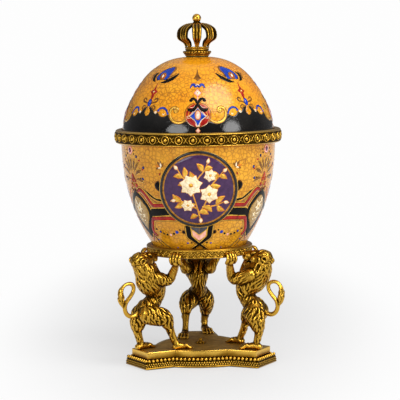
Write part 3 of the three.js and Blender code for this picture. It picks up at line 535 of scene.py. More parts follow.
def surround():
    """White to the camera, a dim room to the gloss, brighter overhead, and a soft grey light to the rest."""
    world = bpy.data.worlds.new("white surround")
    bpy.context.scene.world = world
    world.use_nodes = True
    tree = world.node_tree
    direction = node(tree, "ShaderNodeTexCoord").outputs["Generated"]
    up = node(tree, "ShaderNodeSeparateXYZ", {0: direction}).outputs[2]
    room = ramp(tree, ranged(tree, up, -1.0, 1.0), (0.42, (0.16, 0.16, 0.165, 1.0)),
                (0.62, (0.20, 0.20, 0.205, 1.0)), (0.97, grey(0.80)))
    soft, glossy, white = (
        node(tree, "ShaderNodeBackground", {"Color": colour, "Strength": strength}).outputs[0]
        for colour, strength in (((0.5, 0.5, 0.505, 1.0), 0.62), (room, 0.9), (grey(0.985), 1.0)))
    path = node(tree, "ShaderNodeLightPath").outputs
    first = node(tree, "ShaderNodeMixShader", {0: path["Is Glossy Ray"], 1: soft, 2: glossy})
    seen = maths(tree, "MAXIMUM", path["Is Camera Ray"], path["Is Transmission Ray"])
    second = node(tree, "ShaderNodeMixShader", {0: seen, 1: first.outputs[0], 2: white})
    fill(tree, tree.nodes["World Output"], {0: second.outputs[0]})


def camera():
    """The camera that saw the photograph: it looks a little down, and leans a little."""
    data = bpy.data.cameras.new("photo camera")
    data.lens = CAMERA_LENS
    data.sensor_width = 36.0
    data.clip_end = 50.0
    obj = bpy.data.objects.new("photo camera", data)
    bpy.context.scene.collection.objects.link(obj)
    ahead = np.array([0.0, math.cos(CAMERA_PITCH), -math.sin(CAMERA_PITCH)])
    right = np.array([1.0, 0.0, 0.0])
    up = np.cross(right, ahead)
    c, s = math.cos(CAMERA_ROLL), math.sin(CAMERA_ROLL)
    right, up = right * c - up * s, right * s + up * c
    place = np.array([0.0, 0.0, CAMERA_HEIGHT]) - ahead * CAMERA_DISTANCE + right * CAMERA_ASIDE
    obj.matrix_world = matrix_of(right, up, -ahead, place)
    bpy.context.scene.camera = obj


bpy.context.scene.view_settings.view_transform = "Standard"
camera()
floor()
surround()
lamp("overhead softbox", (0.62, -0.70, 1.32), 1.2, 0.8, 15.5)
lamp("left softbox", (-0.84, -1.36, 0.56), 0.95, 0.6, 9.5)
lamp("right softbox", (1.26, -0.98, 0.58), 0.8, 0.6, 9.5)
lamp("back softbox", (0.1, 1.3, 1.0), 1.2, 0.6, 7.0, mirrored=False)


# Porcelain bodies

def build_lid_body():
    """The dome: a closed profile of outer curve, seat, rod hole, inner curve and tongue."""
    share = np.sin(np.linspace(0.0, 1.0, 70) * math.pi / 2)
    outer_z = LID_SHOULDER + (LID_SEAT - LID_SHOULDER) * share
    outer = np.stack([lid_radius(outer_z), outer_z], -1)
    ceiling = LID_SEAT - LID_WALL
    inner_z = LID_SHOULDER + (ceiling - LID_SHOULDER) * share[::-2]
    inner = np.stack([np.minimum(lid_radius(inner_z, LID_WALL), TONGUE_INNER), inner_z], -1)
    rim = round_corners([(TONGUE_INNER, LID_TONGUE_LOW), (TONGUE_OUTER, LID_TONGUE_LOW),
                         (TONGUE_OUTER, LID_RIM), (LID_RADIUS, LID_RIM), (LID_RADIUS, LID_SHOULDER - 1.0)],
                        0.5, closed=False)
    top = np.array([(11.0, LID_SEAT), (ROD_HOLE, LID_SEAT), (ROD_HOLE, ceiling), (9.0, ceiling)])
    profile = np.vstack([rim, outer, top, inner])
    slots = np.ones(len(profile), int)
    slots[len(rim) - 6:len(rim) + len(outer) + 1] = 0
    piece("lid_dome", revolve(profile, 180, slots=slots), "lid", [AMBER, CREAM], ["lid_shell"])


def build_bowl_body():
    """The bowl: a closed profile of foot, outer curve, rim, inner curve and floor with its bolt hole."""
    outer_z = np.linspace(BOWL_FOOT + 1.6, BOWL_SHOULDER, 70)
    outer = np.stack([bowl_radius(outer_z), outer_z], -1)
    inner_z = np.linspace(BOWL_SHOULDER, BOWL_FLOOR + 6.0, 34)
    inner = np.stack([bowl_radius(inner_z) - BOWL_WALL, inner_z], -1)
    foot = float(bowl_radius(BOWL_FOOT + 1.6)) - 1.6
    low = np.array([(BOLT_HOLE, BOWL_FOOT), (foot, BOWL_FOOT)])
    floor = float(bowl_radius(BOWL_FLOOR)) - BOWL_WALL
    well = round_corners([(float(inner[-1, 0]) - 0.6, BOWL_FLOOR + 4.4), (floor - 3.0, BOWL_FLOOR),
                          (20.0, BOWL_FLOOR)], 6.0, closed=False, steps=6)
    rim = np.array([(BOWL_RADIUS, BOWL_RIM), (BOWL_RADIUS - BOWL_WALL, BOWL_RIM)])
    profile = np.vstack([low, outer, rim, inner, well, [(BOLT_HOLE, BOWL_FLOOR)]])
    slots = np.ones(len(profile), int)
    slots[:len(low) + len(outer) + 1] = 0
    piece("bowl_body", revolve(profile, 180, slots=slots), "box", [AMBER, CREAM],
          ["bowl_shell"])


# Collar and cradle

def rosette_relief(across, high):
    """Height of one cell of the collar: a ring with a pearl in it, petals outside, a crossed leaf between."""
    rho = np.hypot(across, high)
    angle = np.arctan2(high, across)
    pearl = 1.6 * np.sqrt(np.clip(1.0 - (rho / 1.9) ** 2, 0.0, 1.0))
    ring = 1.15 * bump(rho, 3.5, 0.5)
    petals = 0.6 * bump(rho, 4.9, 0.26) * (0.75 + 0.25 * np.cos(16.0 * angle))
    beside = 6.9 - np.abs(across)
    leaf = 0.9 * bump(np.abs(high), 0.95 * (beside + 0.6), 0.42) * (beside < 2.2)
    bud = 0.95 * np.exp(-(beside / 0.6) ** 2 - (high / 0.9) ** 2)
    return np.maximum.reduce([ring, pearl, petals, leaf, bud])


def build_collar():
    """The collar's moulded body turned about Z, and its band of rosettes as a closed hoop of its own."""
    band_low, band_high, back = 221.7, 231.5, 81.2
    profile = round_corners([(76.96, 226.0), (76.96, COLLAR_LOW), (79.6, COLLAR_LOW), (81.2, 220.4),
                             (82.2, 221.0), (81.9, band_low), (back, band_low), (back, band_high),
                             (81.9, band_high), (82.4, 232.1), (81.6, 232.9), (80.6, 233.5),
                             (78.3, COLLAR_TOP), (76.5, 232.9), (76.5, 228.0), (70.8, 228.0),
                             (70.8, 226.0)], 0.4)
    piece("collar_moulding", revolve(profile, 240, relief=0.55), "box", [SMOOTH], ["collar"])
    cells, per_cell = 38, 42
    steps = cells * per_cell
    cell = (np.arange(steps) % per_cell + 0.5) / per_cell - 0.5
    across = cell[:, None] * (TAU * COLLAR_RADIUS / cells)
    band_z = np.linspace(band_low, band_high, 44)
    height = rosette_relief(across, 0.94 * (band_z - 0.5 * (band_low + band_high))[None, :])
    rise = np.zeros((steps, len(band_z) + 2))
    rise[:, 1:-1] = height
    base = np.concatenate([[back + 0.1], np.full(len(band_z), COLLAR_RADIUS - 1.5), [back + 0.1]])
    z = np.concatenate([[band_low], band_z, [band_high]])
    part = hoop(base + rise, z, turns(steps) - math.radians(88.7), rise * 2.2 - 1.15)
    piece("collar_rosettes", part, "box", [CAST])


def leaf_relief(along, high):
    """Running foliage: a waving stem with a curl and a bud in each bend and slanting leaves between."""
    stem = 0.75 * bump(high - 1.25 * np.sin(TAU * along / VINE_WAVE), 0.0, 0.45)
    half = VINE_WAVE / 2
    count = np.floor(along / half)
    up = np.where(count % 2 == 0, -1.0, 1.0)
    x = along - (count + 0.5) * half
    y = high - 1.15 * up
    rho, turn = np.hypot(x, y), np.arctan2(y, x)
    curl = 0.9 * bump(rho, 1.45 + 0.12 * np.sin(turn + count), 0.34)
    curl *= 0.65 + 0.35 * np.cos(turn - 1.3 * up)
    bud = 1.05 * np.sqrt(np.clip(1.0 - (rho / 0.72) ** 2, 0.0, 1.0))
    veins = 0.55 * np.cos(TAU * (along * 0.62 + high * 0.35 * up) + 1.7 * np.sin(along * 1.9)) ** 2
    leaves = veins * np.clip((np.abs(high) - 1.6) / 1.0, 0.0, 1.0)
    return np.maximum.reduce([stem, curl, bud, leaves])


def build_cradle_ring():
    """The cradle ring: a rounded lip over a band of chased foliage."""
    mouth, radius = 47.15, 53.05
    low = round_corners([(41.2, CRADLE_BOTTOM + 1.6), (41.2, CRADLE_BOTTOM), (radius - 2.2, CRADLE_BOTTOM),
                         (radius - 0.5, CRADLE_BOTTOM + 0.5), (radius - 0.1, CRADLE_BOTTOM + 1.5)],
                        0.4, closed=False)
    band_z = np.linspace(CRADLE_BOTTOM + 1.7, CRADLE_TOP - 2.7, 22)
    band = np.stack([radius - 0.9 + 0.0 * band_z, band_z], -1)
    high = round_corners([(radius - 0.2, CRADLE_TOP - 2.5), (radius + 0.1, CRADLE_TOP - 1.5),
                          (radius - 0.6, CRADLE_TOP - 0.5), (radius - 2.0, CRADLE_TOP),
                          (mouth, CRADLE_TOP - 0.2), (mouth, CRADLE_BOTTOM + 1.6)], 0.5, closed=False)
    profile = np.vstack([low, band, high])
    angle = turns(960)
    height = leaf_relief(angle[:, None] * (VINE_WAVES * VINE_WAVE / TAU), (band_z - band_z.mean())[None, :])
    relief = np.full((len(angle), len(profile)), 0.25)
    rise = np.zeros(relief.shape)
    on_band = slice(len(low), len(low) + len(band))
    relief[:, on_band] = height * 1.7 - 0.45
    rise[:, on_band] = height
    part = hoop(profile[:, 0] + rise, profile[:, 1], angle, relief)
    piece("cradle_chased", part, "box", [CAST], ["cradle_ring"])


# Crown

def arch_part():
    """One deep leaf shaped arch: three ribs run along its outer face, the middle one beaded."""
    knots = np.array([(10.6, 314.5), (12.8, 318.7), (18.1, 322.7), (18.8, 327.5), (16.9, 332.3),
                      (11.2, 335.9), (4.9, 337.1), (3.3, 336.6)])
    path = spline(knots, 64)
    along = np.gradient(path, axis=0)
    along /= np.linalg.norm(along, axis=1, keepdims=True)
    outward = np.stack([along[:, 1], -along[:, 0]], -1)
    share = np.linspace(0.0, 1.0, len(path))
    leaf = np.interp(share, [0.0, 0.1, 0.3, 0.5, 0.72, 0.86, 1.0], [1.9, 2.5, 4.3, 4.8, 4.8, 4.2, 2.4])
    half = np.minimum(0.98 * math.tan(math.pi / 8) * (path[:, 0] - 0.5), leaf)
    sides = 44
    turn = turns(sides)
    flat = np.sign(np.cos(turn)) * np.abs(np.cos(turn)) ** 0.75
    deep = np.sign(np.sin(turn)) * np.abs(np.sin(turn)) ** 0.55
    length = np.concatenate([[0], np.cumsum(np.linalg.norm(np.diff(path, axis=0), axis=1))])
    outer = np.clip(deep, 0, 1)[None, :]
    beads = 0.5 + 0.5 * np.cos(length * TAU / 1.5)[:, None]
    middle = bump(flat, 0.0, 0.17)[None, :] * (0.55 + 0.45 * beads)
    edges = (bump(flat, 0.72, 0.2) + bump(flat, -0.72, 0.2))[None, :]
    rib = (0.8 * middle + 0.7 * edges) * outer
    inner = 2.5 * smooth_step(path[:, 0], 3.0, 13.0)[:, None] + 0.5
    thick = np.where(deep > 0, 0.35 * deep, inner * deep) + rib
    points = np.zeros((len(path), sides, 3))
    points[:, :, 0] = path[:, None, 0] + outward[:, None, 0] * thick
    points[:, :, 1] = half[:, None] * flat[None, :]
    points[:, :, 2] = path[:, None, 1] + outward[:, None, 1] * thick
    # Brighter on the outer face near the foot of each arch: painted light for the glow that the amber lid
    # reflects there.
    low = 0.6 * (1.0 - smooth_step(share, 0.15, 0.4))[:, None]
    return tube_part(points, relief=rib * 2.8 - 0.95 + low * outer)


def build_crown():
    """The crown: a moulded foot, a row of beads, eight arches, a cap and an orb."""
    arch = arch_part()
    for k in range(8):
        piece(f"crown_leaf_{k + 1}", turned_z(arch, math.radians(-90 + 45 * k)), "lid",
              [CAST], [f"crown_arch_{k + 1}"])
    foot = round_corners([(ROD_HOLE, CROWN_LOW), (11.9, CROWN_LOW), (11.9, 306.2), (12.6, 307.0),
                          (13.3, 307.4), (13.3, 308.0), (11.1, 308.0), (11.1, 310.8), (11.9, 311.2),
                          (11.5, 312.4), (12.1, 313.4), (12.1, CROWN_BAND_TOP), (ROD_HOLE, CROWN_BAND_TOP)],
                         0.35)
    piece("crown_foot", revolve(foot, 96), "lid", [SMOOTH], ["crown_base"])
    beads = 26
    angle, section = turns(beads * 8), turns(14)
    swell = 0.62 + 0.38 * np.abs(np.cos(angle * beads / 2))[:, None] ** 0.7
    r = 12.75 + 1.45 * swell * np.cos(section)[None, :]
    z = 309.25 + 1.22 * swell * np.sin(section)[None, :]
    relief = (swell - 0.62) / 0.38 * 1.1 - 0.6 + 0.0 * r
    piece("crown_beads", hoop(r, z, angle, relief), "lid", [CAST], ["crown_bead_ring"])
    cap_profile = round_corners([(ROD_HOLE, 333.6), (3.0, 333.6), (3.0, ARCH_TOP), (3.9, ARCH_TOP),
                                 (3.9, 338.7), (3.2, 339.0), (3.2, CAP_TOP), (ROD_HOLE, CAP_TOP)], 0.25)
    # The hub is darkened all over: painted shade beneath the orb.
    piece("crown_hub", revolve(cap_profile, 48, relief=-0.8), "lid", [CAST], ["crown_cap"])
    start = math.asin((CAP_TOP - ORB_Z) / ORB_RADIUS)
    angles = np.linspace(start, math.pi / 2, 26)[:-1]
    dome = np.stack([ORB_RADIUS * np.cos(angles), ORB_Z + ORB_RADIUS * np.sin(angles)], -1)
    profile = np.vstack([[(0.02, CAP_TOP - 2.6), (1.2, CAP_TOP - 2.6), (1.2, CAP_TOP)], dome,
                         [(0.02, ORB_Z + ORB_RADIUS)]])
    piece("crown_ball", revolve(profile, 56), "lid", [POLISHED], ["crown_orb"])


# Base

def base_outline(t, inset):
    """Outline of the base at t from 0 to 3, one unit a lobe: tip, straight side, bulge and side again."""
    t = np.asarray(t, float)
    lobe = np.floor(t)
    s = t - lobe
    turn = LION_ANGLES[0] + lobe * (TAU / 3) + STAND_TURN
    reach, half = LOBE_REACH - inset, LOBE_HALF - inset
    notch, bulge_r = NOTCH_RADIUS - inset, BULGE_RADIUS - inset
    side_turn = turn + math.pi / 3
    knots = np.array([0.0, 0.28, 0.44, 0.84, 1.0])
    sag = bulge_r - notch * math.cos(NOTCH_ANGLE)

    def at(x, y, angle):
        """The point x, y turned about the axis."""
        return np.stack([x * np.cos(angle) - y * np.sin(angle), x * np.sin(angle) + y * np.cos(angle)], -1)

    start = at(reach + 0 * s, -half + 0 * s, turn)
    corner = at(reach + 0 * s, half + 0 * s, turn)
    end = at(reach + 0 * s, -half + 0 * s, turn + TAU / 3)

    def on_bulge(q):
        """The point at a share q from -1 to 1 of the way over a side's bulge."""
        return at(bulge_r - sag * q * q, notch * math.sin(NOTCH_ANGLE) * q, side_turn)

    q = np.clip((s - knots[2]) / (knots[3] - knots[2]), 0, 1) * 2 - 1
    first, last = on_bulge(-1.0 + 0 * s), on_bulge(1.0 + 0 * s)
    pick = np.searchsorted(knots, s, side="right") - 1
    f = ((s - knots[pick]) / (knots[np.minimum(pick + 1, 4)] - knots[pick] + 1e-9))[..., None]
    pick = pick[..., None]
    place = np.where(pick == 0, start + (corner - start) * f, on_bulge(q))
    place = np.where(pick == 1, corner + (first - corner) * f, place)
    return np.where(pick == 3, last + (end - last) * f, place)


def even_stations(count):
    """Values of t that step evenly along the outline's length, starting at a corner."""
    t = np.linspace(0.0, 3.0 - 1e-9, 6000)
    p = base_outline(t, 0.0)
    run = np.concatenate([[0], np.cumsum(np.linalg.norm(np.diff(p, axis=0), axis=1))])
    return np.interp(np.arange(count) / count * run[-1], run, t)


def base_rings(profile, t):
    """Rings of the outline at each (inset, height) of a profile: one grid of profile by outline."""
    rings = [np.column_stack([base_outline(t, inset), np.full(len(t), height)])
             for inset, height in profile]
    return np.stack(rings, 0)


def build_foot():
    """The foot: a moulding with two rows of ribs that stand half a step apart, and a row of beads over it."""
    ribs = 189
    t = even_stations(ribs * 8)
    phase = np.arange(len(t)) / 8.0
    flute, between = np.abs(np.cos(math.pi * phase)) ** 0.7, np.abs(np.sin(math.pi * phase)) ** 0.7
    low = [(1.2, FELT_TOP), (0.4, FELT_TOP), (0.0, 1.2), (0.0, 2.2), (0.35, 2.5)]
    band_z = np.linspace(2.7, 6.5, 15)
    lower, upper = (np.sqrt(np.clip(1.0 - ((band_z - z) / 0.98) ** 2, 0, 1)) for z in (3.65, 5.55))
    high = [(0.9, 6.8), (0.9, 7.2), (0.6, 7.4), (2.2, 7.6), (3.4, 7.7), (3.8, 8.4), (4.1, 9.4),
            (4.3, FOOT_TOP)]
    flat = np.array(low + [(0.9, z) for z in band_z] + high)
    rings = base_rings(flat, t)
    out = base_rings([(0.0, 0.0), (1.0, 0.0)], t)
    outward = (out[0] - out[1])[None, :, :]
    rise = np.zeros((len(flat), len(t)))
    on_band = slice(len(low), len(low) + len(band_z))
    rise[on_band] = 0.98 * (lower[:, None] * flute[None, :] + upper[:, None] * between[None, :])
    points = rings + outward * rise[:, :, None]
    relief = np.full(rise.shape, 0.25)
    relief[on_band] = rise[on_band] * 3.4 - 2.1
    relief[len(low) + len(band_z):] = -0.7
    part = grid(points, wrap_v=True, relief=relief)
    count = len(t)
    cap(part, np.arange(count), (0, 0, FELT_TOP))
    cap(part, (len(flat) - 1) * count + np.arange(count), (0, 0, FOOT_TOP))
    parts = [turn_out(part, (0, 0, 5))]
    beads = 110
    spot = base_outline(even_stations(beads), 2.0)
    parts.append(ball_parts(np.column_stack([spot, np.full(beads, 8.6)]), 1.72, 7, 12))
    piece("foot_moulding", joined(parts), "box", [CAST], ["base_foot"])


def build_plinth():
    """The plinth: smooth sides with painted highlights at the lobes' corners, along the top edge and on the
    bulges, partly real rubbed wear, painted dark reflections at the bends, and a weathered top.
    """
    t = even_stations(720)
    sides = round_corners([(6.0, FOOT_TOP), (PLINTH_INSET, FOOT_TOP), (PLINTH_INSET, PLINTH_TOP),
                           (8.0, PLINTH_TOP)], 0.7, closed=False)
    rings = base_rings(sides, t)
    lobe_share = (t % 1.0)[None, :]
    # Painted light on the sides: bright at the lobes' tips and corners and on the bulges, dark at the concave
    # bends where the sides would reflect darkness; the rubbing at the corners is partly real wear.
    wear_and_painted_light = (1.5 * (bump(lobe_share, 0.0, 0.02) + bump(lobe_share, 1.0, 0.02) + bump(lobe_share, 0.28, 0.02))
            + 0.9 * bump(lobe_share, 0.56, 0.05) + 0.8 * bump(lobe_share, 0.73, 0.04)
            - 0.7 * bump(lobe_share, 0.45, 0.05) - 0.7 * bump(lobe_share, 0.83, 0.05))
    # A painted highlight along the top edge, the rest of the side a little darker, and the whole pattern
    # stronger towards the top.
    edge = np.where(np.abs(sides[:, 1] - PLINTH_TOP) < 0.8, 1.2, -0.35)[:, None]
    relief = np.clip(edge + wear_and_painted_light * (0.35 + 0.65 * smooth_step(sides[:, 1], FOOT_TOP, PLINTH_TOP))[:, None],
                     -1.1, 1.3)
    part = grid(rings, wrap_v=True, relief=relief)
    cap(part, np.arange(len(t)), (0, 0, FOOT_TOP))
    inner = [base_outline(t, 8.0) * k for k in (0.8, 0.6, 0.4, 0.2, 0.08)]
    floor = np.stack([np.column_stack([p, np.full(len(t), PLINTH_TOP)])
                      for p in [base_outline(t, 8.0)] + inner])
    top = grid(floor, wrap_v=True, relief=np.full(floor.shape[:2], -0.25), slots=np.ones(len(t), int))
    cap(top, 5 * len(t) + np.arange(len(t)), (0, 0, PLINTH_TOP), slot=1)
    piece("plinth_smooth", turn_out(joined([part, top]), (0, 0, 13)), "box",
          [SMOOTH, WEATHERED], ["base_plinth"])


def build_rosette():
    """The leafy knob in the middle of the plinth."""
    leaves = 8
    angle = turns(160)[None, :]
    share = np.linspace(0.0, 1.0, 26)[:, None]
    widths = np.interp(share, [0, 0.06, 0.28, 0.5, 0.62, 0.85, 1.0],
                       [0.9, 1.02, 1.02, 0.78, 0.52, 0.48, 0.22])
    lobes = 0.12 * np.cos(leaves * angle) * np.clip(1.0 - share / 0.6, 0, 1)
    veins = 0.03 * np.cos(leaves * 4 * angle) * np.clip(1.0 - share / 0.6, 0, 1)
    r = 4.75 * widths * (1.0 + lobes + veins)
    # Lighter towards the top and darker at its foot on the plinth: painted light and shade over the lobes'
    # patina.
    part = tube_part(around(r, PLINTH_TOP + 5.3 * share, angle),
                     relief=lobes * 4 - 0.25 + 0.5 * share + 0.0 * r)
    piece("centre_rosette", part, "box", [CAST], ["base_rosette"])


# Lions

# Drawn with x outward from the axis, y counter-clockwise and z up from the plinth;
# each row is x, y, z, half width, half depth
TORSO = [(64, 0, 35.5, 8.4, 6.4), (63.8, 0, 38, 10.4, 8.4), (61.6, 0, 41.2, 10.8, 9.2),
         (57, 0, 45.0, 8.8, 8.8), (53.4, 0, 49.4, 7.3, 8.4), (52, 0, 54, 7.6, 9.0),
         (53.4, 0.5, 60.5, 9.8, 11.2), (58, 1.8, 67.5, 12.0, 13.2), (62.6, 2.6, 74, 12.0, 13.4),
         (67, 2.8, 80.5, 10.8, 11.2), (69.8, 2.6, 86.5, 8.0, 7.8), (70.4, 2.2, 90, 5.4, 5.4),
         (70.4, 2, 92, 3.0, 3.0)]
# The head, drawn looking straight at the axis before it is turned aside
MANE = [(65.8, 0, 88.4, 8.2, 8.6), (69.0, 0, 88.4, 8.9, 9.0), (72.2, 0, 88.0, 8.6, 8.6),
        (75.0, 0, 87.4, 7.2, 7.4), (77.2, 0, 87.0, 4.8, 5.2), (78.4, 0, 86.8, 2.4, 2.8)]
SKULL = [(70, 0, 89.6, 8.0, 8.0), (65, 0, 90.4, 7.2, 7.2), (61.4, 0, 91.0, 5.7, 6.2),
         (58.4, 0, 91.2, 4.6, 5.4), (55.4, 0, 91.2, 4.1, 5.0), (52.8, 0, 91.0, 3.9, 4.6),
         (51.6, 0, 90.8, 3.3, 4.0)]
JAW = [(67, 0, 85.2, 6.2, 4.4), (62, 0, 84.4, 4.8, 3.2), (58, 0, 83.8, 3.7, 2.6), (54, 0, 83.6, 3.2, 2.5),
       (52, 0, 83.6, 2.6, 2.2)]
BRIDGE = [(64, 0, 96.0, 3.0, 2.0), (60, 0, 95.6, 2.3, 1.9), (56, 0, 95.0, 2.0, 1.6),
          (52.8, 0, 94.6, 2.3, 1.5)]
HEAD_PIVOT, HEAD_SHIFT, HEAD_TURN = 66.0, 2.1, math.radians(10.0)
# Where the back of a shin lies on its loft, and the radius at which the fingers hold the ring
BACK_TURN, GRIP_RADIUS = 0.25, 53.2
FRONT_THIGH = [(65, 6, 36.5, 8.2, 9.4), (60, 8.6, 35.6, 8.6, 9.6), (54, 11.2, 33.8, 8.2, 9.0),
               (48.6, 13, 31.0, 6.8, 7.6), (45.6, 13.6, 26.0, 5.0, 5.7)]
FRONT_SHIN = [(47, 13.2, 31, 5.0), (45.2, 13.6, 25.4, 4.7), (43.2, 13.9, 20, 3.9), (41.0, 14.1, 14.5, 3.3),
              (38.6, 14.5, 9, 3.2), (37.0, 14.9, 4, 3.9)]
BACK_THIGH = [(63, -5, 38.5, 8.6, 9.2), (65.2, -7.4, 33, 8.2, 9.4), (67.4, -8, 27.5, 7.0, 8.0),
              (68.4, -7.6, 23, 5.9, 6.4)]
BACK_SHIN = [(67.8, -7.8, 27, 5.6), (68.6, -7, 20, 4.6), (67.8, -6.3, 14, 3.6), (66.2, -6, 8, 3.3),
             (66.2, -6, 3.4, 4.0)]
FRONT_FOOT = [(39.4, 14.6, 2.6, 3.8, 2.8), (35.2, 15.3, 3.4, 4.2, 3.5), (30.8, 16.1, 2.9, 4.7, 3.0),
              (27, 16.8, 2.2, 4.6, 2.4)]
BACK_FOOT = [(69.4, -5.6, 2.6, 3.8, 2.8), (64.2, -6.7, 3.4, 4.3, 3.5), (59.4, -7.8, 2.9, 4.8, 3.0),
             (55.2, -8.6, 2.2, 4.7, 2.4)]
RIGHT_ARM = [(61, 7.5, 73.5, 6.8), (54.5, 11.0, 71.4, 6.6), (47.4, 12.7, 69.6, 5.8),
             (42.9, 13.6, 70.8, 5.0), (41.9, 16.6, 75.4, 4.3), (42.0, 21, 80.8, 3.8),
             (43.0, 25.2, 85.2, 3.4), (44.2, 28.8, 88.8, 3.7)]
LEFT_ARM = [(61, -7.5, 73.5, 6.8), (54.5, -10.8, 71.4, 6.6), (47.6, -12, 69.6, 5.8),
            (43.5, -12.9, 70.8, 5.0), (43.2, -15.4, 75.4, 4.3), (44.1, -18.8, 80.8, 3.8),
            (45.4, -21.8, 85.2, 3.4), (46.8, -24.6, 88.8, 3.7)]
TAIL = [(68, 39), (71.5, 37), (75.5, 35.2), (80.4, 34.8), (84.8, 37.8), (86.6, 43.4), (85, 49), (80.6, 54),
        (77.0, 59.2), (76.9, 64), (80.4, 67.0), (85.6, 67.0), (89.4, 63.8), (90.9, 58.4), (90.6, 53.6),
        (89.6, 48.8), (88.8, 44.6)]


def loft(stations, sides=28, between=6):
    """Rings (stations, sides, 3) of ellipses about a smooth path through x, y, z, half width, half depth."""
    rows = np.array([tuple(s) if len(s) == 5 else tuple(s) + (s[3],) for s in stations], float)
    fine = spline(rows, (len(rows) - 1) * between + 1)
    centre, half = fine[:, :3], np.maximum(fine[:, 3:], 0.2)
    along = np.gradient(centre, axis=0)
    along /= np.linalg.norm(along, axis=1, keepdims=True)
    across = np.array([0.0, 1.0, 0.0]) - along * along[:, 1:2]
    across /= np.linalg.norm(across, axis=1, keepdims=True)
    over = np.cross(along, across)
    angle = turns(sides)
    return (centre[:, None, :] + across[:, None, :] * (half[:, :1] * np.cos(angle))[:, :, None]
            + over[:, None, :] * (half[:, 1:] * np.sin(angle))[:, :, None])


def rounded(stations, sides=28, between=6):
    """The rings of a loft with three more at each end that close in like a half ball."""
    rings = loft(stations, sides, between)
    first, last = rings[0].mean(0), rings[-1].mean(0)
    ends = []
    for ring, middle, inner in ((rings[0], first, rings[1]), (rings[-1], last, rings[-2])):
        away = middle - inner.mean(0)
        away /= np.linalg.norm(away)
        size = np.linalg.norm(ring - middle, axis=1).min()
        bend = np.radians([25.0, 50.0, 75.0])
        ends.append([middle + (ring - middle) * math.cos(b) + away * size * math.sin(b) for b in bend])
    return np.concatenate([np.array(ends[0][::-1]), rings, np.array(ends[1])])


def loft_part(stations, sides=28, between=6):
    """A closed limb: the loft with rounded ends."""
    return tube_part(rounded(stations, sides, between))


def sampled(rings, u, phi):
    """Points of a loft at shares u along it and turns phi round it, between its grid points."""
    n, sides = rings.shape[:2]
    a = np.clip(u, 0, 1) * (n - 1)
    b = (phi % 1.0) * sides
    i, j = np.minimum(a.astype(int), n - 2), b.astype(int) % sides
    fa, fb = (a - i)[..., None], (b - b.astype(int))[..., None]
    j2 = (j + 1) % sides
    low = rings[i, j] * (1 - fb) + rings[i, j2] * fb
    high = rings[i + 1, j] * (1 - fb) + rings[i + 1, j2] * fb
    return low * (1 - fa) + high * fa


def combed(rings, u, phi, comb):
    """Headings on a loft that follow a direction in space: its shares along and round the skin."""
    e = 0.01
    here = sampled(rings, u, phi)
    along = sampled(rings, u + e, phi) - sampled(rings, u - e, phi)
    round_it = sampled(rings, u, phi + e) - sampled(rings, u, phi - e)
    along /= np.linalg.norm(along, axis=-1, keepdims=True) + 1e-9
    round_it /= np.linalg.norm(round_it, axis=-1, keepdims=True) + 1e-9
    wanted = comb(here)
    return np.arctan2((wanted * round_it).sum(-1), -(wanted * along).sum(-1))


def locks_on(rings, u, phi, length, width, heading, curl, rng, lift=0.55, clear=None):
    """Locks of hair on a loft: tapered tubes that start in the skin at (u, phi), run along the surface with
    an S shaped swing and come away a little at the tip. Heading 0 runs back along the loft."""
    t = np.linspace(0.0, 1.0, 10)[None, :]
    total = np.linalg.norm(np.diff(rings.mean(1), axis=0), axis=1).sum()
    girth = np.linalg.norm(np.roll(rings, -1, 1) - rings, axis=2).sum(1)
    local = np.interp(u, np.linspace(0, 1, len(girth)), girth)[:, None]
    phase = TAU * (1.4 * u + 2.0 * phi) + rng.normal(0.0, 0.4, len(u))
    swing = curl[:, None] * (np.sin(t * TAU * 0.85 + phase[:, None]) - np.sin(phase)[:, None])
    swing *= 0.4 + 0.6 * t
    head = heading[:, None]
    down = length[:, None] * t * np.cos(head) - swing * np.sin(head)
    side = length[:, None] * t * np.sin(head) + swing * np.cos(head)
    uu = u[:, None] - down / total
    pp = phi[:, None] + side / local
    base = sampled(rings, uu, pp)
    e = 0.006
    du = sampled(rings, uu + e, pp) - sampled(rings, uu - e, pp)
    dp = sampled(rings, uu, pp + e) - sampled(rings, uu, pp - e)
    out = np.cross(du, dp)
    out /= np.linalg.norm(out, axis=2, keepdims=True) + 1e-9
    middle = np.interp(uu, np.linspace(0, 1, len(rings)), np.arange(len(rings)))
    core = rings.mean(1)[np.clip(np.round(middle).astype(int), 0, len(rings) - 1)]
    out *= np.sign(np.sum(out * (base - core), axis=2, keepdims=True))
    plump = 0.5 + 0.75 * np.sin(math.pi * np.minimum(t * 1.25, 1.0)) ** 0.7
    w = width[:, None] * plump * (1 - t ** 3) + 0.1
    rise = lift * w + width[:, None] * (1.3 * t ** 2 - 0.45)
    path = base + out * rise[:, :, None]
    if clear is not None:
        keep = ~clear(path).any(1)
        path, out, w = path[keep], out[keep], w[keep]
    along = np.gradient(path, axis=1)
    along /= np.linalg.norm(along, axis=2, keepdims=True) + 1e-9
    across = np.cross(along, out)
    across /= np.linalg.norm(across, axis=2, keepdims=True) + 1e-9
    over = np.cross(across, along)
    a = turns(6)[None, None, :, None]
    tube = (path[:, :, None, :] + across[:, :, None, :] * w[:, :, None, None] * np.cos(a)
            + over[:, :, None, :] * w[:, :, None, None] * 0.85 * np.sin(a))
    return many_tubes(tube)


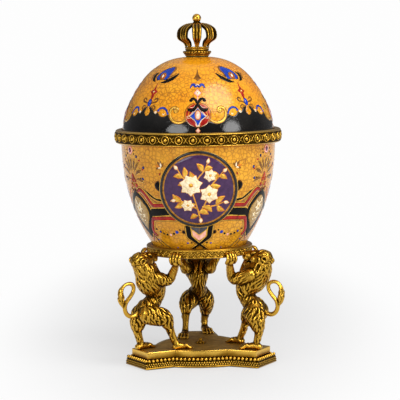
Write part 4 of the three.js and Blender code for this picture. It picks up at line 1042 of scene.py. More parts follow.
def many_tubes(tube):
    """Closed tubes from an array (tubes, stations, sides, 3), each end closed by a fan."""
    n, m, sides = tube.shape[:3]
    poles = np.stack([tube[:, 0].mean(1), tube[:, -1].mean(1)], 1)
    co = np.concatenate([tube.reshape(n, -1, 3), poles], 1)
    one = np.arange(m * sides).reshape(m, sides)
    nxt = np.roll(one, -1, 1)
    quads = np.stack([one[:-1], one[1:], nxt[1:], nxt[:-1]], -1).reshape(-1, 4)
    low = np.stack([nxt[0], one[0], np.full(sides, m * sides)], -1)
    high = np.stack([one[-1], nxt[-1], np.full(sides, m * sides + 1)], -1)
    tris = np.vstack([low, high])
    if (face_normals(co[0], quads) * (co[0][quads].mean(1) - co[0][: m * sides].mean(0))).sum() < 0:
        quads, tris = quads[:, ::-1], tris[:, ::-1]
    return copies(co, quads, tris)


def staggered(rows, columns, rng, jitter=0.3):
    """Places in a unit square in rows, every other row shifted by half a step, each a little off."""
    r, c = np.meshgrid(np.arange(rows), np.arange(columns), indexing="ij")
    a = (r + 0.5 + rng.uniform(-jitter, jitter, r.shape)) / rows
    b = (c + 0.5 * (r % 2) + rng.uniform(-jitter, jitter, r.shape)) / columns
    return a.ravel(), b.ravel()


def toes(heel, tip, spread, radius, count=4, high=2.5):
    """Toes with a knuckle and a claw each, side by side at the end of a foot that points from heel to tip."""
    heel, tip = np.array(heel, float), np.array(tip, float)
    ahead = tip - heel
    ahead /= np.linalg.norm(ahead)
    side = np.array([-ahead[1], ahead[0]])
    parts = []
    for k in range(count):
        q = (k - (count - 1) / 2) / ((count - 1) / 2)
        fan = ahead + side * 0.22 * q
        fan /= np.linalg.norm(fan)
        root = tip - ahead * 5.0 + side * spread * q * 0.75
        length = 9.2 - 1.5 * q * q
        line = [(0.0, high + 0.4, 0.95), (0.38, high + 1.3, 1.08), (0.72, high * 0.8, 1.0),
                (1.0, radius * 0.72, 0.8)]
        rows = [(*(root + fan * length * s), h, radius * w, radius * w * 0.92) for s, h, w in line]
        parts.append(loft_part(rows, 14, 5))
        end = root + fan * (length + radius * 0.4)
        claw = [(*(end - fan * 0.6), radius * 0.75, 0.75), (*(end + fan * 0.9), radius * 0.55, 0.55),
                (*(end + fan * 1.9), 0.35, 0.2)]
        parts.append(loft_part(claw, 8, 3))
    return parts


def fingers(hand_angle):
    """Four fingers that hold the cradle ring from outside at an angle round it."""
    parts = []
    for k in range(4):
        a = hand_angle + math.radians((k - 1.5) * 3.15)
        c, s = math.cos(a), math.sin(a)
        droop = 0.7 * abs(k - 1.3)
        line = [(1.6, 87.4, 1.8), (4.0, 90.4 - 0.3 * droop, 1.75), (4.3, 93.6 - droop, 1.6),
                (2.6, 96.4 - droop, 1.45), (0.6, 97.4 - droop, 1.0)]
        rows = [((GRIP_RADIUS + r) * c, (GRIP_RADIUS + r) * s, z, w) for r, z, w in line]
        parts.append(loft_part(rows, 12, 5))
    return parts


def remeshed(part, voxel):
    """The outer skin of overlapping closed bodies as one mesh of even small faces."""
    mesh = mesh_of("lion clay", part)
    obj = bpy.data.objects.new("lion clay", mesh)
    bpy.context.scene.collection.objects.link(obj)
    change = obj.modifiers.new("skin", "REMESH")
    change.mode = "VOXEL"
    change.voxel_size = voxel * MM
    change.adaptivity = 0.0
    solid = obj.evaluated_get(bpy.context.evaluated_depsgraph_get()).to_mesh()
    co = np.empty(len(solid.vertices) * 3, np.float32)
    solid.vertices.foreach_get("co", co)
    totals = np.empty(len(solid.polygons), np.int32)
    solid.polygons.foreach_get("loop_total", totals)
    loops = np.empty(len(solid.loops), np.int32)
    solid.loops.foreach_get("vertex_index", loops)
    starts = np.concatenate([[0], np.cumsum(totals)[:-1]])
    quads = loops[starts[totals == 4][:, None] + np.arange(4)]
    tris = loops[starts[totals == 3][:, None] + np.arange(3)]
    obj.to_mesh_clear()
    bpy.data.objects.remove(obj)
    bpy.data.meshes.remove(mesh)
    return part_of(co.reshape(-1, 3).astype(float) / MM, quads.reshape(-1, 4).astype(int),
                   tris.reshape(-1, 3).astype(int))


def edges_of(part):
    """The two ends of each side of each face."""
    pairs = [part["quads"][:, [k, (k + 1) % 4]] for k in range(4)]
    if len(part["tris"]):
        pairs += [part["tris"][:, [k, (k + 1) % 3]] for k in range(3)]
    return np.vstack(pairs)


def smoothed(co, pairs, rounds, share=0.5):
    """Each point moved part of the way to the mean of its neighbours, a number of times."""
    n = len(co)
    a = np.concatenate([pairs[:, 0], pairs[:, 1]])
    b = np.concatenate([pairs[:, 1], pairs[:, 0]])
    count = np.maximum(np.bincount(a, minlength=n), 1)[:, None]
    for _ in range(rounds):
        mean = np.stack([np.bincount(a, weights=co[b, k], minlength=n) for k in range(3)], -1) / count
        co = co + share * (mean - co)
    return co


def vertex_normals(part):
    """Unit normals at the points: the area normals of the faces round each, summed."""
    co = part["co"]
    total = np.zeros_like(co)
    for key in ("quads", "tris"):
        faces = part[key]
        if len(faces):
            normal = face_normals(co, faces)
            for k in range(faces.shape[1]):
                for axis in range(3):
                    total[:, axis] += np.bincount(faces[:, k], weights=normal[:, axis], minlength=len(co))
    return total / (np.linalg.norm(total, axis=1, keepdims=True) + 1e-12)


def pressed(part, centre, radius, depth):
    """Vertices near a place pushed in along their normals: a hollow of gaussian section."""
    co = part["co"]
    near = np.exp(-(np.linalg.norm((co - np.array(centre)) / np.array(radius), axis=1)) ** 2)
    part["co"] = co - vertex_normals(part) * (depth * near)[:, None]


def head_turned(points):
    """Points of the straight head turned aside about the vertical through its middle."""
    c, s = math.cos(HEAD_TURN), math.sin(HEAD_TURN)
    x, y = points[..., 0] - HEAD_PIVOT, points[..., 1]
    return np.stack([HEAD_PIVOT + x * c - y * s, x * s + y * c + HEAD_SHIFT, points[..., 2]], -1)


def on_face(path):
    """True where a lock would lie over the turned face or the throat below it."""
    c, s = math.cos(HEAD_TURN), math.sin(HEAD_TURN)
    x, y = path[..., 0] - HEAD_PIVOT, path[..., 1] - HEAD_SHIFT
    return (HEAD_PIVOT + x * c + y * s < 62.4) & (path[..., 2] > 77.0)


def ear(side):
    """A curled ear set against the mane: a tube round a spiral that opens to the side."""
    a = np.linspace(-0.5, 1.62, 22) * math.pi
    curl = np.interp(a, [a[0], a[-1]], [3.1, 1.6])
    y = side * (8.7 + 0.5 * np.sin(a))
    rows = [(73.4 + c * math.cos(t), h, 89.8 + c * math.sin(t), 1.1) for t, c, h in zip(a, curl, y)]
    return loft_part(rows, 10, 2)


def fleece(points):
    """Combed down and a little towards the axis."""
    return np.broadcast_to(np.array([-0.33, 0.0, -0.94]), points.shape)


def swept(points):
    """Combed back over the top of the head and down behind it: the slope turns with the height."""
    slope = np.radians(np.interp(points[..., 2], [80.0, 86.0, 91.0, 96.0], [-100.0, -70.0, -25.0, 20.0]))
    return np.stack([np.cos(slope), np.zeros_like(slope), np.sin(slope)], -1)


def tended(hair, rng):
    """A groom function that adds its locks to a list: staggered rows over a span of a loft's skin."""

    def groom(rings, rows, columns, span, length, width, curl, comb=fleece, stray=0.14, lift=0.4,
              clear=None):
        """Adds one set of locks; rows, columns, span and the ranges of size are those of the set."""
        u, phi = staggered(rows, columns, rng)
        u = span[0] + (span[1] - span[0]) * u
        n = len(u)
        hair.append(locks_on(rings, u, phi, rng.uniform(*length, n), rng.uniform(*width, n),
                             combed(rings, u, phi, comb) + rng.normal(0.0, stray, n), rng.uniform(*curl, n),
                             rng, lift, clear=clear))

    return groom


def head_clay(rng):
    """The head of a lion: mane, skull, jaw, nose, cheeks, whisker pads, brow and ears, with its locks."""
    parts = [loft_part(rows) for rows in (MANE, SKULL, JAW, BRIDGE)]
    for side in (-1, 1):
        parts += [blob((53.0, 2.6 * side, 89.6), (2.9, 2.2, 2.6)),
                  blob((61.2, 3.8 * side, 95.2), (2.6, 1.9, 1.3)),
                  blob((62.6, 5.0 * side, 88.6), (4.4, 2.8, 4.2)),
                  blob((60.0, 4.2 * side, 93.4), (1.2, 1.1, 1.1)), ear(side)]
    parts += [blob((51.4, 0, 94.2), (1.6, 2.3, 1.5)), blob((52.0, 0, 82.6), (2.1, 2.2, 1.7))]
    for part in parts:
        part["co"] = head_turned(part["co"])
    hair = []
    groom = tended(hair, rng)
    groom(head_turned(rounded(MANE, 32, 8)), 8, 22, (0.06, 0.89), (6.0, 9.0), (0.62, 0.86), (1.5, 2.5),
          swept, 0.22, 0.5, on_face)
    groom(head_turned(rounded(JAW, 24, 8)), 4, 9, (0.30, 0.75), (3.5, 5.5), (0.5, 0.7), (0.3, 0.8), fleece,
          0.2, 0.4, lambda path: path[..., 2] > 81.5)
    return joined(parts + hair)


def lion_clay(rng):
    """All the overlapping bodies of one lion but its head, with its locks of hair."""
    limbs = {name: rounded(rows, 32, 8) for name, rows in
             (("torso", TORSO), ("front", FRONT_THIGH), ("back", BACK_THIGH), ("right", RIGHT_ARM),
              ("left", LEFT_ARM))}
    parts = [tube_part(rings) for rings in limbs.values()]
    parts += [loft_part(rows) for rows in (FRONT_SHIN, BACK_SHIN, FRONT_FOOT, BACK_FOOT)]
    tail_width = np.interp(np.arange(len(TAIL)), [0, 2, 6, 11, 12, 13, 14, 15, 16],
                           [3.4, 2.4, 2.1, 1.9, 2.0, 2.5, 2.9, 2.2, 0.9])
    parts.append(loft_part([(x, 0, z, w) for (x, z), w in zip(TAIL, tail_width)], 18, 6))
    for side in (-1, 1):
        parts += [blob((46, 12.6 * side, 68.6), (4.6, 4.4, 4.4)),
                  blob((53.6, 4.4 * side, 63.5), (5.0, 4.6, 5.0))]
    parts += toes((39, 14.6), (26.5, 16.9), 4.0, 1.8) + toes((69, -5.6), (54.6, -8.8), 4.0, 1.8)
    for hand in (math.atan2(30.6, 45.8), math.atan2(-26.0, 48.6)):
        parts += fingers(hand)
        palm = GRIP_RADIUS + 2.0
        parts.append(blob((palm * math.cos(hand), palm * math.sin(hand), 88.4), (3.6, 3.9, 3.4)))
    hair = []
    groom = tended(hair, rng)
    groom(limbs["torso"], 10, 27, (0.47, 0.86), (7.5, 11.0), (0.7, 0.95), (1.4, 2.4), fleece, 0.2, 0.55,
          on_face)
    groom(limbs["torso"], 5, 12, (0.27, 0.46), (3.5, 6.0), (0.35, 0.5), (0.2, 0.5), lift=0.0)
    groom(limbs["torso"], 4, 18, (0.04, 0.26), (5.0, 8.0), (0.65, 0.9), (0.5, 1.0))
    groom(limbs["front"], 10, 12, (0.02, 0.94), (7.5, 11.0), (0.75, 1.0), (0.7, 1.3))
    groom(limbs["back"], 6, 19, (0.02, 0.94), (7.5, 11.0), (0.75, 1.0), (0.7, 1.3))
    for side in ("right", "left"):
        groom(limbs[side], 5, 10, (0.08, 0.42), (5.0, 8.0), (0.5, 0.75), (0.5, 1.0), lift=0.25)
        groom(limbs[side], 5, 7, (0.50, 0.86), (3.0, 5.0), (0.25, 0.4), (0.2, 0.4), lift=0.0)
    count = 26
    for rows in (FRONT_SHIN, BACK_SHIN):
        rings = loft(rows, 24, 7)
        u = rng.uniform(0.02, 0.72, count)
        phi = BACK_TURN + rng.uniform(-0.16, 0.16, count)
        hair.append(locks_on(rings, u, phi, rng.uniform(0.8, 1.3, count) * 5.0,
                             rng.uniform(0.6, 0.85, count), math.pi + rng.normal(0.0, 0.3, count),
                             rng.uniform(0.3, 0.8, count), rng, lift=0.5))
    tuft = loft([(x, 0, z, w) for (x, z), w in zip(TAIL[11:], tail_width[11:])], 18, 8)
    hair.append(locks_on(tuft, rng.uniform(0.2, 0.75, count), rng.uniform(0, 1, count),
                         rng.uniform(4, 7, count), rng.uniform(0.6, 0.9, count),
                         math.pi + rng.normal(0, 0.35, count), rng.uniform(0.4, 1.0, count), rng, lift=0.3))
    return joined(parts + hair)


def cast_skin(clay, voxel, hollows=()):
    """Clay made one skin and eased, with hollows pressed in; its relief is how proud a point stands of the
    smoothed skin."""
    part = remeshed(clay, voxel)
    pairs = edges_of(part)
    part["co"] = smoothed(part["co"], pairs, 1)
    for centre, radius, depth in hollows:
        pressed(part, centre, radius, depth)
    normal = vertex_normals(part)
    wide = smoothed(part["co"], pairs, 26)
    near = smoothed(part["co"], pairs, 6)
    proud = ((part["co"] - wide) * normal).sum(1) / 0.45 + ((part["co"] - near) * normal).sum(1) / 0.16
    part["relief"] = np.clip(proud, -1.5, 1.5)
    return part


def build_lions():
    """One lion with a head of its own, set three times round the stand; the first has a slimmer nape, and the
    third, at the back, is made darker as painted shade.
    """
    rng = np.random.default_rng(7)
    body = cast_skin(lion_clay(rng), 0.54)
    hollows = [((59.4, 5.6), 93.0, (1.9, 1.8, 0.9), 0.7), ((50.0, 1.3), 93.2, (0.9, 0.9, 0.8), 0.7),
               ((73.4, 9.8), 89.8, (1.3, 1.7, 1.3), 1.6), ((53.5, 3.6), 86.4, (3.6, 3.0, 0.55), 1.2),
               ((56.8, 3.9), 85.2, (1.2, 2.5, 0.7), 1.2)]
    head = cast_skin(head_clay(rng), 0.42,
                     [(head_turned(np.array([x, y * side, z])), radius, depth)
                      for (x, y), z, radius, depth in hollows for side in (-1, 1)])
    low = body["co"][:, 2] < 0.15
    body["co"][low, 2] = np.maximum(body["co"][low, 2], 0.0)
    for k, angle in enumerate(LION_ANGLES):
        for name, part, nodes in (("figure", body, [f"lion_{k + 1}", f"lion_tail_{k + 1}"]),
                                  ("head", head, [])):
            # The third lion, at the back under the bowl, has its relief lowered so that it shows darker:
            # painted shade.
            own = dict(part, co=part["co"].copy(), relief=part["relief"] - (0.42 if k == 2 else 0.0))
            if k == 0:
                nape = np.exp(-((own["co"][:, 2] - 75.0) / 8.0) ** 2)
                own["co"][:, 0] -= 3.0 * nape * smooth_step(own["co"][:, 0], 60.0, 72.0)
            own["co"][:, 2] += PLINTH_TOP
            piece(f"lion_{name}_{k + 1}", turned_z(own, angle + STAND_TURN), "box", [CAST],
                  nodes)


# Painted ornament: thin raised enamel, drawn in millimetres on the egg round an anchor

BOWL_EGG = {"name": "bowl", "middle": 170.0, "z": np.linspace(114.0, 225.9, 900)}
LID_EGG = {"name": "lid", "middle": 235.0, "z": np.linspace(228.4, 304.3, 900)}
for egg, radius in ((BOWL_EGG, bowl_radius), (LID_EGG, lid_radius)):
    egg["r"] = radius(egg["z"])
    egg["s"] = np.concatenate([[0], np.cumsum(np.hypot(np.diff(egg["z"]), np.diff(egg["r"])))])
    egg["slope"] = np.gradient(egg["r"], egg["z"])
FRONTS = [(-90.0, 1), (-90.0, -1), (90.0, 1), (90.0, -1)]
FRONT_ONCE = [(-90.0, 1), (90.0, 1)]
LID_MAIN = [(a, s) for a in (-90.0, 0.0, 90.0, 180.0) for s in (1, -1)]
LID_MAIN_ONCE = [(a, 1) for a in (-90.0, 0.0, 90.0, 180.0)]
PAINTED = {}


def on_egg(egg, p, q, lift, anchor, turn, sign):
    """World points of local ones: q runs up the meridian from the anchor, p round from its own meridian."""
    s = np.interp(anchor[1], egg["z"], egg["s"]) + q
    z = np.interp(s, egg["s"], egg["z"])
    r = np.interp(s, egg["s"], egg["r"])
    slope = np.interp(s, egg["s"], egg["slope"])
    theta = math.radians(turn) + sign * (math.radians(anchor[0]) + p / r)
    size = np.sqrt(1.0 + slope * slope)
    out = r + lift / size
    return np.stack([out * np.cos(theta), out * np.sin(theta), z - lift * slope / size], -1)


def to_local(egg, points, anchor):
    """Points given in degrees round and height, as local millimetres about an anchor."""
    points = np.asarray(points, float)
    r = np.interp(points[:, 1], egg["z"], egg["r"])
    s = np.interp(points[:, 1], egg["z"], egg["s"]) - np.interp(anchor[1], egg["z"], egg["s"])
    return np.stack([np.radians(points[:, 0] - anchor[0]) * r, s], -1)


def enamelled(colour, egg, p, q, lift, anchor, places, wrap=False):
    """Lays a local grid on the egg at each place (turn, mirror sign) and keeps it under its colour."""
    for turn, sign in places:
        points = on_egg(egg, p, q, lift, anchor, turn, sign)
        part = grid(points, wrap_u=wrap, relief=lift * 3.0)
        PAINTED.setdefault((egg["name"], colour), []).append(turn_out(part, (0.0, 0.0, egg["middle"])))


def ribbon(line, half, count):
    """Edges and lifts of a stroke: the line smoothed, offset across by the half width, domed in section."""
    line = np.asarray(line, float)
    half = np.broadcast_to(np.asarray(half, float), (len(line),))
    fine = spline(np.column_stack([line, half]), (len(line) - 1) * count + 1)
    centre, width = fine[:, :2], np.maximum(fine[:, 2], 0.03)
    along = np.gradient(centre, axis=0)
    along /= np.linalg.norm(along, axis=1, keepdims=True) + 1e-9
    across = np.stack([-along[:, 1], along[:, 0]], -1)
    share = np.array([-1.0, -0.8, 0.0, 0.8, 1.0])
    dome = np.array([-0.45, 0.6, 1.0, 0.6, -0.45])
    points = centre[:, None, :] + across[:, None, :] * (width[:, None] * share)[:, :, None]
    return points, np.broadcast_to(dome, points.shape[:2])


def stroke(colour, egg, points, half, places, anchor=None, lift=0.16, count=6):
    """A brush stroke through points, in local millimetres about an anchor, or in degrees and height."""
    if anchor is None:
        anchor = tuple(np.mean(np.asarray(points, float), axis=0))
        points = to_local(egg, points, anchor)
    line, dome = ribbon(points, half, count)
    enamelled(colour, egg, line[:, :, 0], line[:, :, 1], dome * lift, anchor, places)


def strokes(egg, points, places, coats, anchor=None):
    """Strokes over each other along one line: the colour, half width and lift of each coat."""
    for colour, half, lift in coats:
        stroke(colour, egg, points, half, places, anchor, lift)


def outlined(points, count, sharp):
    """A closed outline, smoothed through its points or straight between them."""
    points = np.asarray(points, float)
    if sharp:
        t = np.arange(count) / count
        ring = np.vstack([points, points[:1]])
        step = np.arange(len(ring))
        return np.stack([np.interp(t * len(points), step, ring[:, k]) for k in range(2)], -1)
    ring = np.vstack([points[-1], points, points[:2]])
    return spline(ring, (len(ring) - 1) * count + 1)[count:-count - 1]


def field(colour, egg, points, places, anchor=None, lift=0.15, centre=None, count=4, sharp=False, dome=0.3):
    """A filled shape seen whole from its centre: rings of its outline drawn in toward the centre."""
    if anchor is None:
        anchor = tuple(np.mean(np.asarray(points, float), axis=0))
        points = to_local(egg, points, anchor)
        centre = None if centre is None else to_local(egg, [centre], anchor)[0]
    edge = outlined(points, 12 * len(points) if sharp else count, sharp)
    centre = edge.mean(0) if centre is None else np.asarray(centre, float)
    reach = np.linalg.norm(edge - centre, axis=1).max()
    share = np.array([1.0, 0.9, 0.5, 0.02] if reach < 6 else [1.0, 0.94, 0.78, 0.56, 0.34, 0.14, 0.01])
    rise = np.interp(share, [0.0, 0.9, 0.94, 1.0], [1.0 + dome, 1.0, 0.8, -0.5]) * lift
    ring = centre + (edge[:, None, :] - centre) * share[None, :, None]
    enamelled(colour, egg, ring[:, :, 0], ring[:, :, 1], np.broadcast_to(rise, ring.shape[:2]), anchor,
              places, wrap=True)


def fields(egg, points, places, anchor, coats, **more):
    """Filled shapes over each other with one outline: the colour, size and lift of each coat."""
    for colour, size, lift in coats:
        field(colour, egg, np.asarray(points) * size, places, anchor, lift=lift, **more)


def ovals(egg, places, anchor, coats, centre=(0.0, 0.0), turn=0.0, **more):
    """Ovals over each other: the colour, half width, half height and lift of each coat."""
    for colour, width, height, lift in coats:
        field(colour, egg, oval(width, height, centre, turn), places, anchor, lift=lift, **more)


def oval(width, height, centre=(0.0, 0.0), turn=0.0, count=12):
    """Points of an oval of half width and half height, tilted by a turn in degrees."""
    a = turns(count)
    x, y = width * np.cos(a), height * np.sin(a)
    c, s = math.cos(math.radians(turn)), math.sin(math.radians(turn))
    return np.stack([centre[0] + x * c - y * s, centre[1] + x * s + y * c], -1)


def leaf(start, end, width, bend=0.0, fullest=0.45):
    """Points of a pointed leaf from start to end, bent aside, its width greatest at a share of its length."""
    start, end = np.asarray(start, float), np.asarray(end, float)
    ahead = end - start
    side = np.array([-ahead[1], ahead[0]]) / np.linalg.norm(ahead)
    t = np.array([0.0, 0.12, 0.3, fullest, 0.7, 0.88, 1.0])
    swell = np.array([0.02, 0.5, 0.9, 1.0, 0.72, 0.34, 0.01]) * width
    middle = start + ahead * t[:, None] + side * (bend * np.sin(math.pi * t))[:, None]
    left, right = middle + side * swell[:, None], middle - side * swell[:, None]
    return np.vstack([left, right[-2:0:-1]])


def spot_row(colour, egg, points, radius, places, lift=0.2):
    """Round dots at points in degrees and height."""
    for (angle, z), size in zip(points, np.broadcast_to(radius, (len(points),))):
        field(colour, egg, oval(size, size, count=8), places, anchor=(angle, z), lift=lift, count=2,
              dome=0.6)


def blossom(egg, anchor, places, petals, size, outer, inner, heart):
    """A flower: petals round an anchor, each with an inner tone, and a round heart."""
    for k in range(petals):
        a = math.radians(90 + 360 * k / petals)
        tip = np.array([math.cos(a), math.sin(a)]) * size
        field(outer, egg, leaf(tip * 0.15, tip, size * 0.36, fullest=0.6), places, anchor, lift=0.15)
        field(inner, egg, leaf(tip * 0.3, tip * 0.82, size * 0.18, fullest=0.6), places, anchor, lift=0.22)
    field(heart, egg, oval(size * 0.2, size * 0.2), places, anchor, lift=0.28, count=3)


def paint_lid():
    """The lid: a black band with a scalloped upper edge, a round jewel at each quarter and lesser sprays."""
    egg, both, once = LID_EGG, LID_MAIN, LID_MAIN_ONCE
    edge = np.array([(0.0, 241.0), (9.0, 244.0), (11.0, 243.0), (14.0, 242.0), (17.5, 242.6), (20.5, 244.6),
                     (22.4, 247.6), (23.4, 250.6), (24.4, 250.4), (25.8, 249.0), (28.2, 248.2),
                     (30.8, 249.0), (32.4, 251.2), (33.4, 252.6), (34.6, 251.4), (36.2, 251.8),
                     (37.8, 253.6), (39.4, 256.4), (41.0, 257.4), (44.2, 257.6)])
    mirrored = np.array([(88.4 - a, z) for a, z in edge[::-1]])
    quarter = np.vstack([edge, mirrored[1:]])
    quarter[-1] = (90.0, 241.0)
    angle = np.linspace(0.0, 360.0, 1440, endpoint=False)
    folded = np.abs((angle + 180.0) % 360.0 - 180.0)
    folded = np.where(folded > 90.0, 180.0 - folded, folded)
    top = np.interp(folded, quarter[:, 0], quarter[:, 1])
    top = (np.roll(top, 1) + 2 * top + np.roll(top, -1)) / 4
    share = np.array([0.0, 0.1, 0.25, 0.4, 0.55, 0.7, 0.82, 0.92, 0.985, 1.0])
    z = 230.0 + (top[:, None] - 230.0) * share
    r = np.interp(z, egg["z"], egg["r"])
    p = np.radians(angle)[:, None] * r
    q = np.interp(z, egg["z"], egg["s"]) - np.interp(230.0, egg["z"], egg["s"])
    lift = np.broadcast_to(np.array([-0.1] + [0.12] * 8 + [-0.08]), z.shape)
    enamelled("black", egg, p, q, lift, (0.0, 230.0), [(-90.0, 1)], wrap=True)
    stroke("brown", egg, quarter[1:-1] + (0.0, 0.25), 0.3, FRONTS, lift=0.2, count=8)

    # C scrolls, lobes, pearls and bulbs along the band
    scroll = [(9.6, 245.6), (12.2, 243.4), (15.6, 242.9), (19.4, 244.8), (21.8, 248.6), (22.4, 252.8),
              (21.0, 256.2), (18.6, 257.4), (16.6, 256.2), (16.4, 253.8), (17.8, 253.0), (18.6, 254.0)]
    swell = np.array([1.2, 1.5, 1.8, 1.8, 1.7, 1.65, 1.6, 1.6, 1.6, 1.6, 1.5, 1.2])
    strokes(egg, scroll, both, [("brown", swell, 0.22), ("gold", swell * 0.66, 0.36)])
    ovals(egg, both, (18.0, 254.6), [("brown", 2.1, 2.0, 0.34), ("gold", 1.6, 1.5, 0.5)], count=3)
    middle = 44.2
    for flip in (1, -1):
        def beside(points):
            """Points given in degrees from the spray's middle line, on this side of it."""
            return [(middle + flip * a, z) for a, z in points]

        arc = beside([(-20.2, 250.6), (-18.6, 254.6), (-15.6, 256.8), (-12.4, 256.2), (-10.8, 253.8)])
        strokes(egg, arc, FRONTS, [("navy", [0.9, 1.15, 1.25, 1.2, 0.9], 0.2),
                                   ("blue", [0.6, 0.85, 0.95, 0.9, 0.6], 0.3)])
        spot_row("blue", egg, beside([(-11.2, 254.4), (-20.0, 251.4)]), [1.35, 1.0], FRONTS, lift=0.34)
        stroke("ivory", egg, beside([(-17.4, 251.6), (-16.4, 250.4), (-15.4, 251.6)]), [0.3, 0.5, 0.2],
               FRONTS, lift=0.18)
        spot_row("ivory", egg, beside([(-8.6, 252.6)]), 1.45, FRONTS, lift=0.24)
        spot_row("pink", egg, beside([(-8.6, 252.6)]), 0.6, FRONTS, lift=0.42)
        stroke("brown", egg, beside([(-1.6, 260.4), (-4.0, 261.8), (-6.8, 262.4), (-8.4, 264.2),
                                     (-7.2, 265.8), (-4.8, 264.8), (-5.4, 263.8)]),
               [0.5, 0.9, 1.0, 1.0, 0.9, 0.7, 0.4], FRONTS)
        stroke("brown", egg, beside([(-3.0, 258.4), (-5.6, 258.8), (-7.2, 257.0), (-6.2, 255.2),
                                     (-4.8, 255.8), (-5.4, 256.8)]), [0.4, 0.8, 0.95, 0.9, 0.7, 0.4],
               FRONTS, lift=0.2)
    bulb = [(0.0, 4.2), (0.9, 3.4), (1.5, 1.6), (2.9, -1.0), (3.3, -3.6), (1.9, -6.2), (0.0, -6.9),
            (-1.9, -6.2), (-3.3, -3.6), (-2.9, -1.0), (-1.5, 1.6), (-0.9, 3.4)]
    fields(egg, bulb, FRONTS, (middle, 255.4), [("brown", (1.13, 1.05), 0.2), ("amber", 1.0, 0.3)])
    gem = (middle, 261.4)
    ovals(egg, FRONTS, gem, [("navy", 2.7, 4.4, 0.26), ("blue", 2.3, 4.0, 0.36)])
    stroke("ivory", egg, [(-0.6, 1.6), (-0.8, 0.0)], [0.2, 0.4], FRONTS, gem, lift=0.5)
    spear = (43.4, 271.8)
    red = [(0, 10.6), (0.5, 5.0), (0.9, 2.6), (3.1, 0.2), (1.2, -2.4), (1.0, -5.0), (0.55, -9.0), (0, -9.6)]
    red += [(-x, y) for x, y in red[-2:0:-1]]
    red = np.array(red) * (1.6, 1.05)
    field("red", egg, red, FRONTS, spear, lift=0.16, sharp=True, centre=(0, 0))
    field("amber", egg, [(0, 2.0), (1.6, 0), (0, -2.0), (-1.6, 0)], FRONTS, spear, lift=0.27, sharp=True)
    field("ivory", egg, oval(0.5, 0.6), FRONTS, spear, lift=0.4, count=3)

    # Feather eyes high on the dome
    eye = (40.8, 287.2)
    feather = [(-3.0, 12.4), (0.6, 9.4), (2.8, 5.0), (3.8, 0.4), (4.0, -2.8), (2.6, -5.6), (0.2, -4.4),
               (-2.6, -5.2), (-3.6, -2.6), (-3.8, 2.4), (-4.4, 7.6)]
    feather = np.array(feather) * (1.95, 1.0)
    field("ink", egg, feather * 1.1, FRONTS, eye, lift=0.1, centre=(-0.4, 1.0))
    field("blue", egg, feather, FRONTS, eye, lift=0.2, centre=(-0.4, 1.0))
    stroke("brown", egg, [(-6.6, 12.8), (-8.9, 8.0), (-7.9, 3.0), (-8.0, -2.6)], [0.9, 1.3, 1.0, 0.4],
           FRONTS, eye, lift=0.26)
    field("brown", egg, oval(4.2, 5.2, (0.3, -0.8), -14), FRONTS, eye, lift=0.3)
    field("ochre", egg, oval(3.0, 4.0, (0.3, -0.9), -14), FRONTS, eye, lift=0.42)
    ovals(egg, FRONTS, eye, [("red", 2.5, 3.4, 0.52), ("ivory", 1.3, 2.2, 0.64)], (0.3, -1.0), -14)
    stroke("ink", egg, [(-16.0, 2.6), (-12.4, -3.2), (-6.4, -7.4), (-0.8, -8.6)], [1.0, 2.4, 2.1, 0.5],
           FRONTS, eye)
    stroke("brown", egg, [(-13.4, 3.4), (-9.8, -0.6), (-6.6, -3.4)], [0.3, 0.8, 0.3], FRONTS, eye)
    stroke("ink", egg, [(9.4, 4.2), (12.0, 0.2), (11.2, -4.8), (7.2, -7.8)], [0.9, 2.4, 2.0, 0.6], FRONTS,
           eye)
    stroke("brown", egg, [(13.0, 5.2), (15.8, 0.2), (14.6, -5.8)], [0.4, 1.2, 0.4], FRONTS, eye)

    # The middle line above each jewel
    finial = (0.0, 284.6)
    field("brown", egg, [(0, 14), (0.8, 7), (1.9, 3.4), (3.9, 0), (1.7, -1.8), (0, -3.8), (-1.7, -1.8),
                         (-3.9, 0), (-1.9, 3.4), (-0.8, 7)], once, finial, lift=0.16, sharp=True,
          centre=(0, 0))
    tilde = (0.0, 277.4)
    strokes(egg, [(0, 1.2), (1.6, -0.6), (3.4, 1.6), (5.0, 1.4), (7.0, -2.2)], both,
            [("navy", [0.7, 1.4, 1.6, 1.4, 0.5], 0.16), ("blue", [0.4, 1.1, 1.25, 1.1, 0.3], 0.26)], tilde)
    stroke("ivory", egg, [(0.2, 2.6), (1.0, 0.8), (2.2, 0.6)], [0.15, 0.4, 0.1], both, tilde, lift=0.32)
    rhomb = (0.0, 270.9)
    fields(egg, [(0, 4.4), (3.5, 0), (0, -4.4), (-3.5, 0)], once, rhomb,
           [("red", 1.12, 0.12), ("pink", 1.05, 0.2), ("ivory", 0.62, 0.3), ("ochre", 0.26, 0.4)],
           sharp=True)
    stroke("pink", egg, [(0, -4.2), (0, -7.0), (0, -9.6)], [0.6, 0.5, 0.25], once, rhomb)
    horn = (0.0, 262.4)
    stroke("ink", egg, [(-0.4, -2.8), (1.3, 1.0), (3.3, 3.3), (5.6, 3.4), (6.6, 1.8)],
           [1.3, 1.5, 1.4, 1.2, 1.0], both, horn, lift=0.3)
    field("ink", egg, oval(1.75, 1.7, (6.4, 1.7)), both, horn, lift=0.34, count=3)

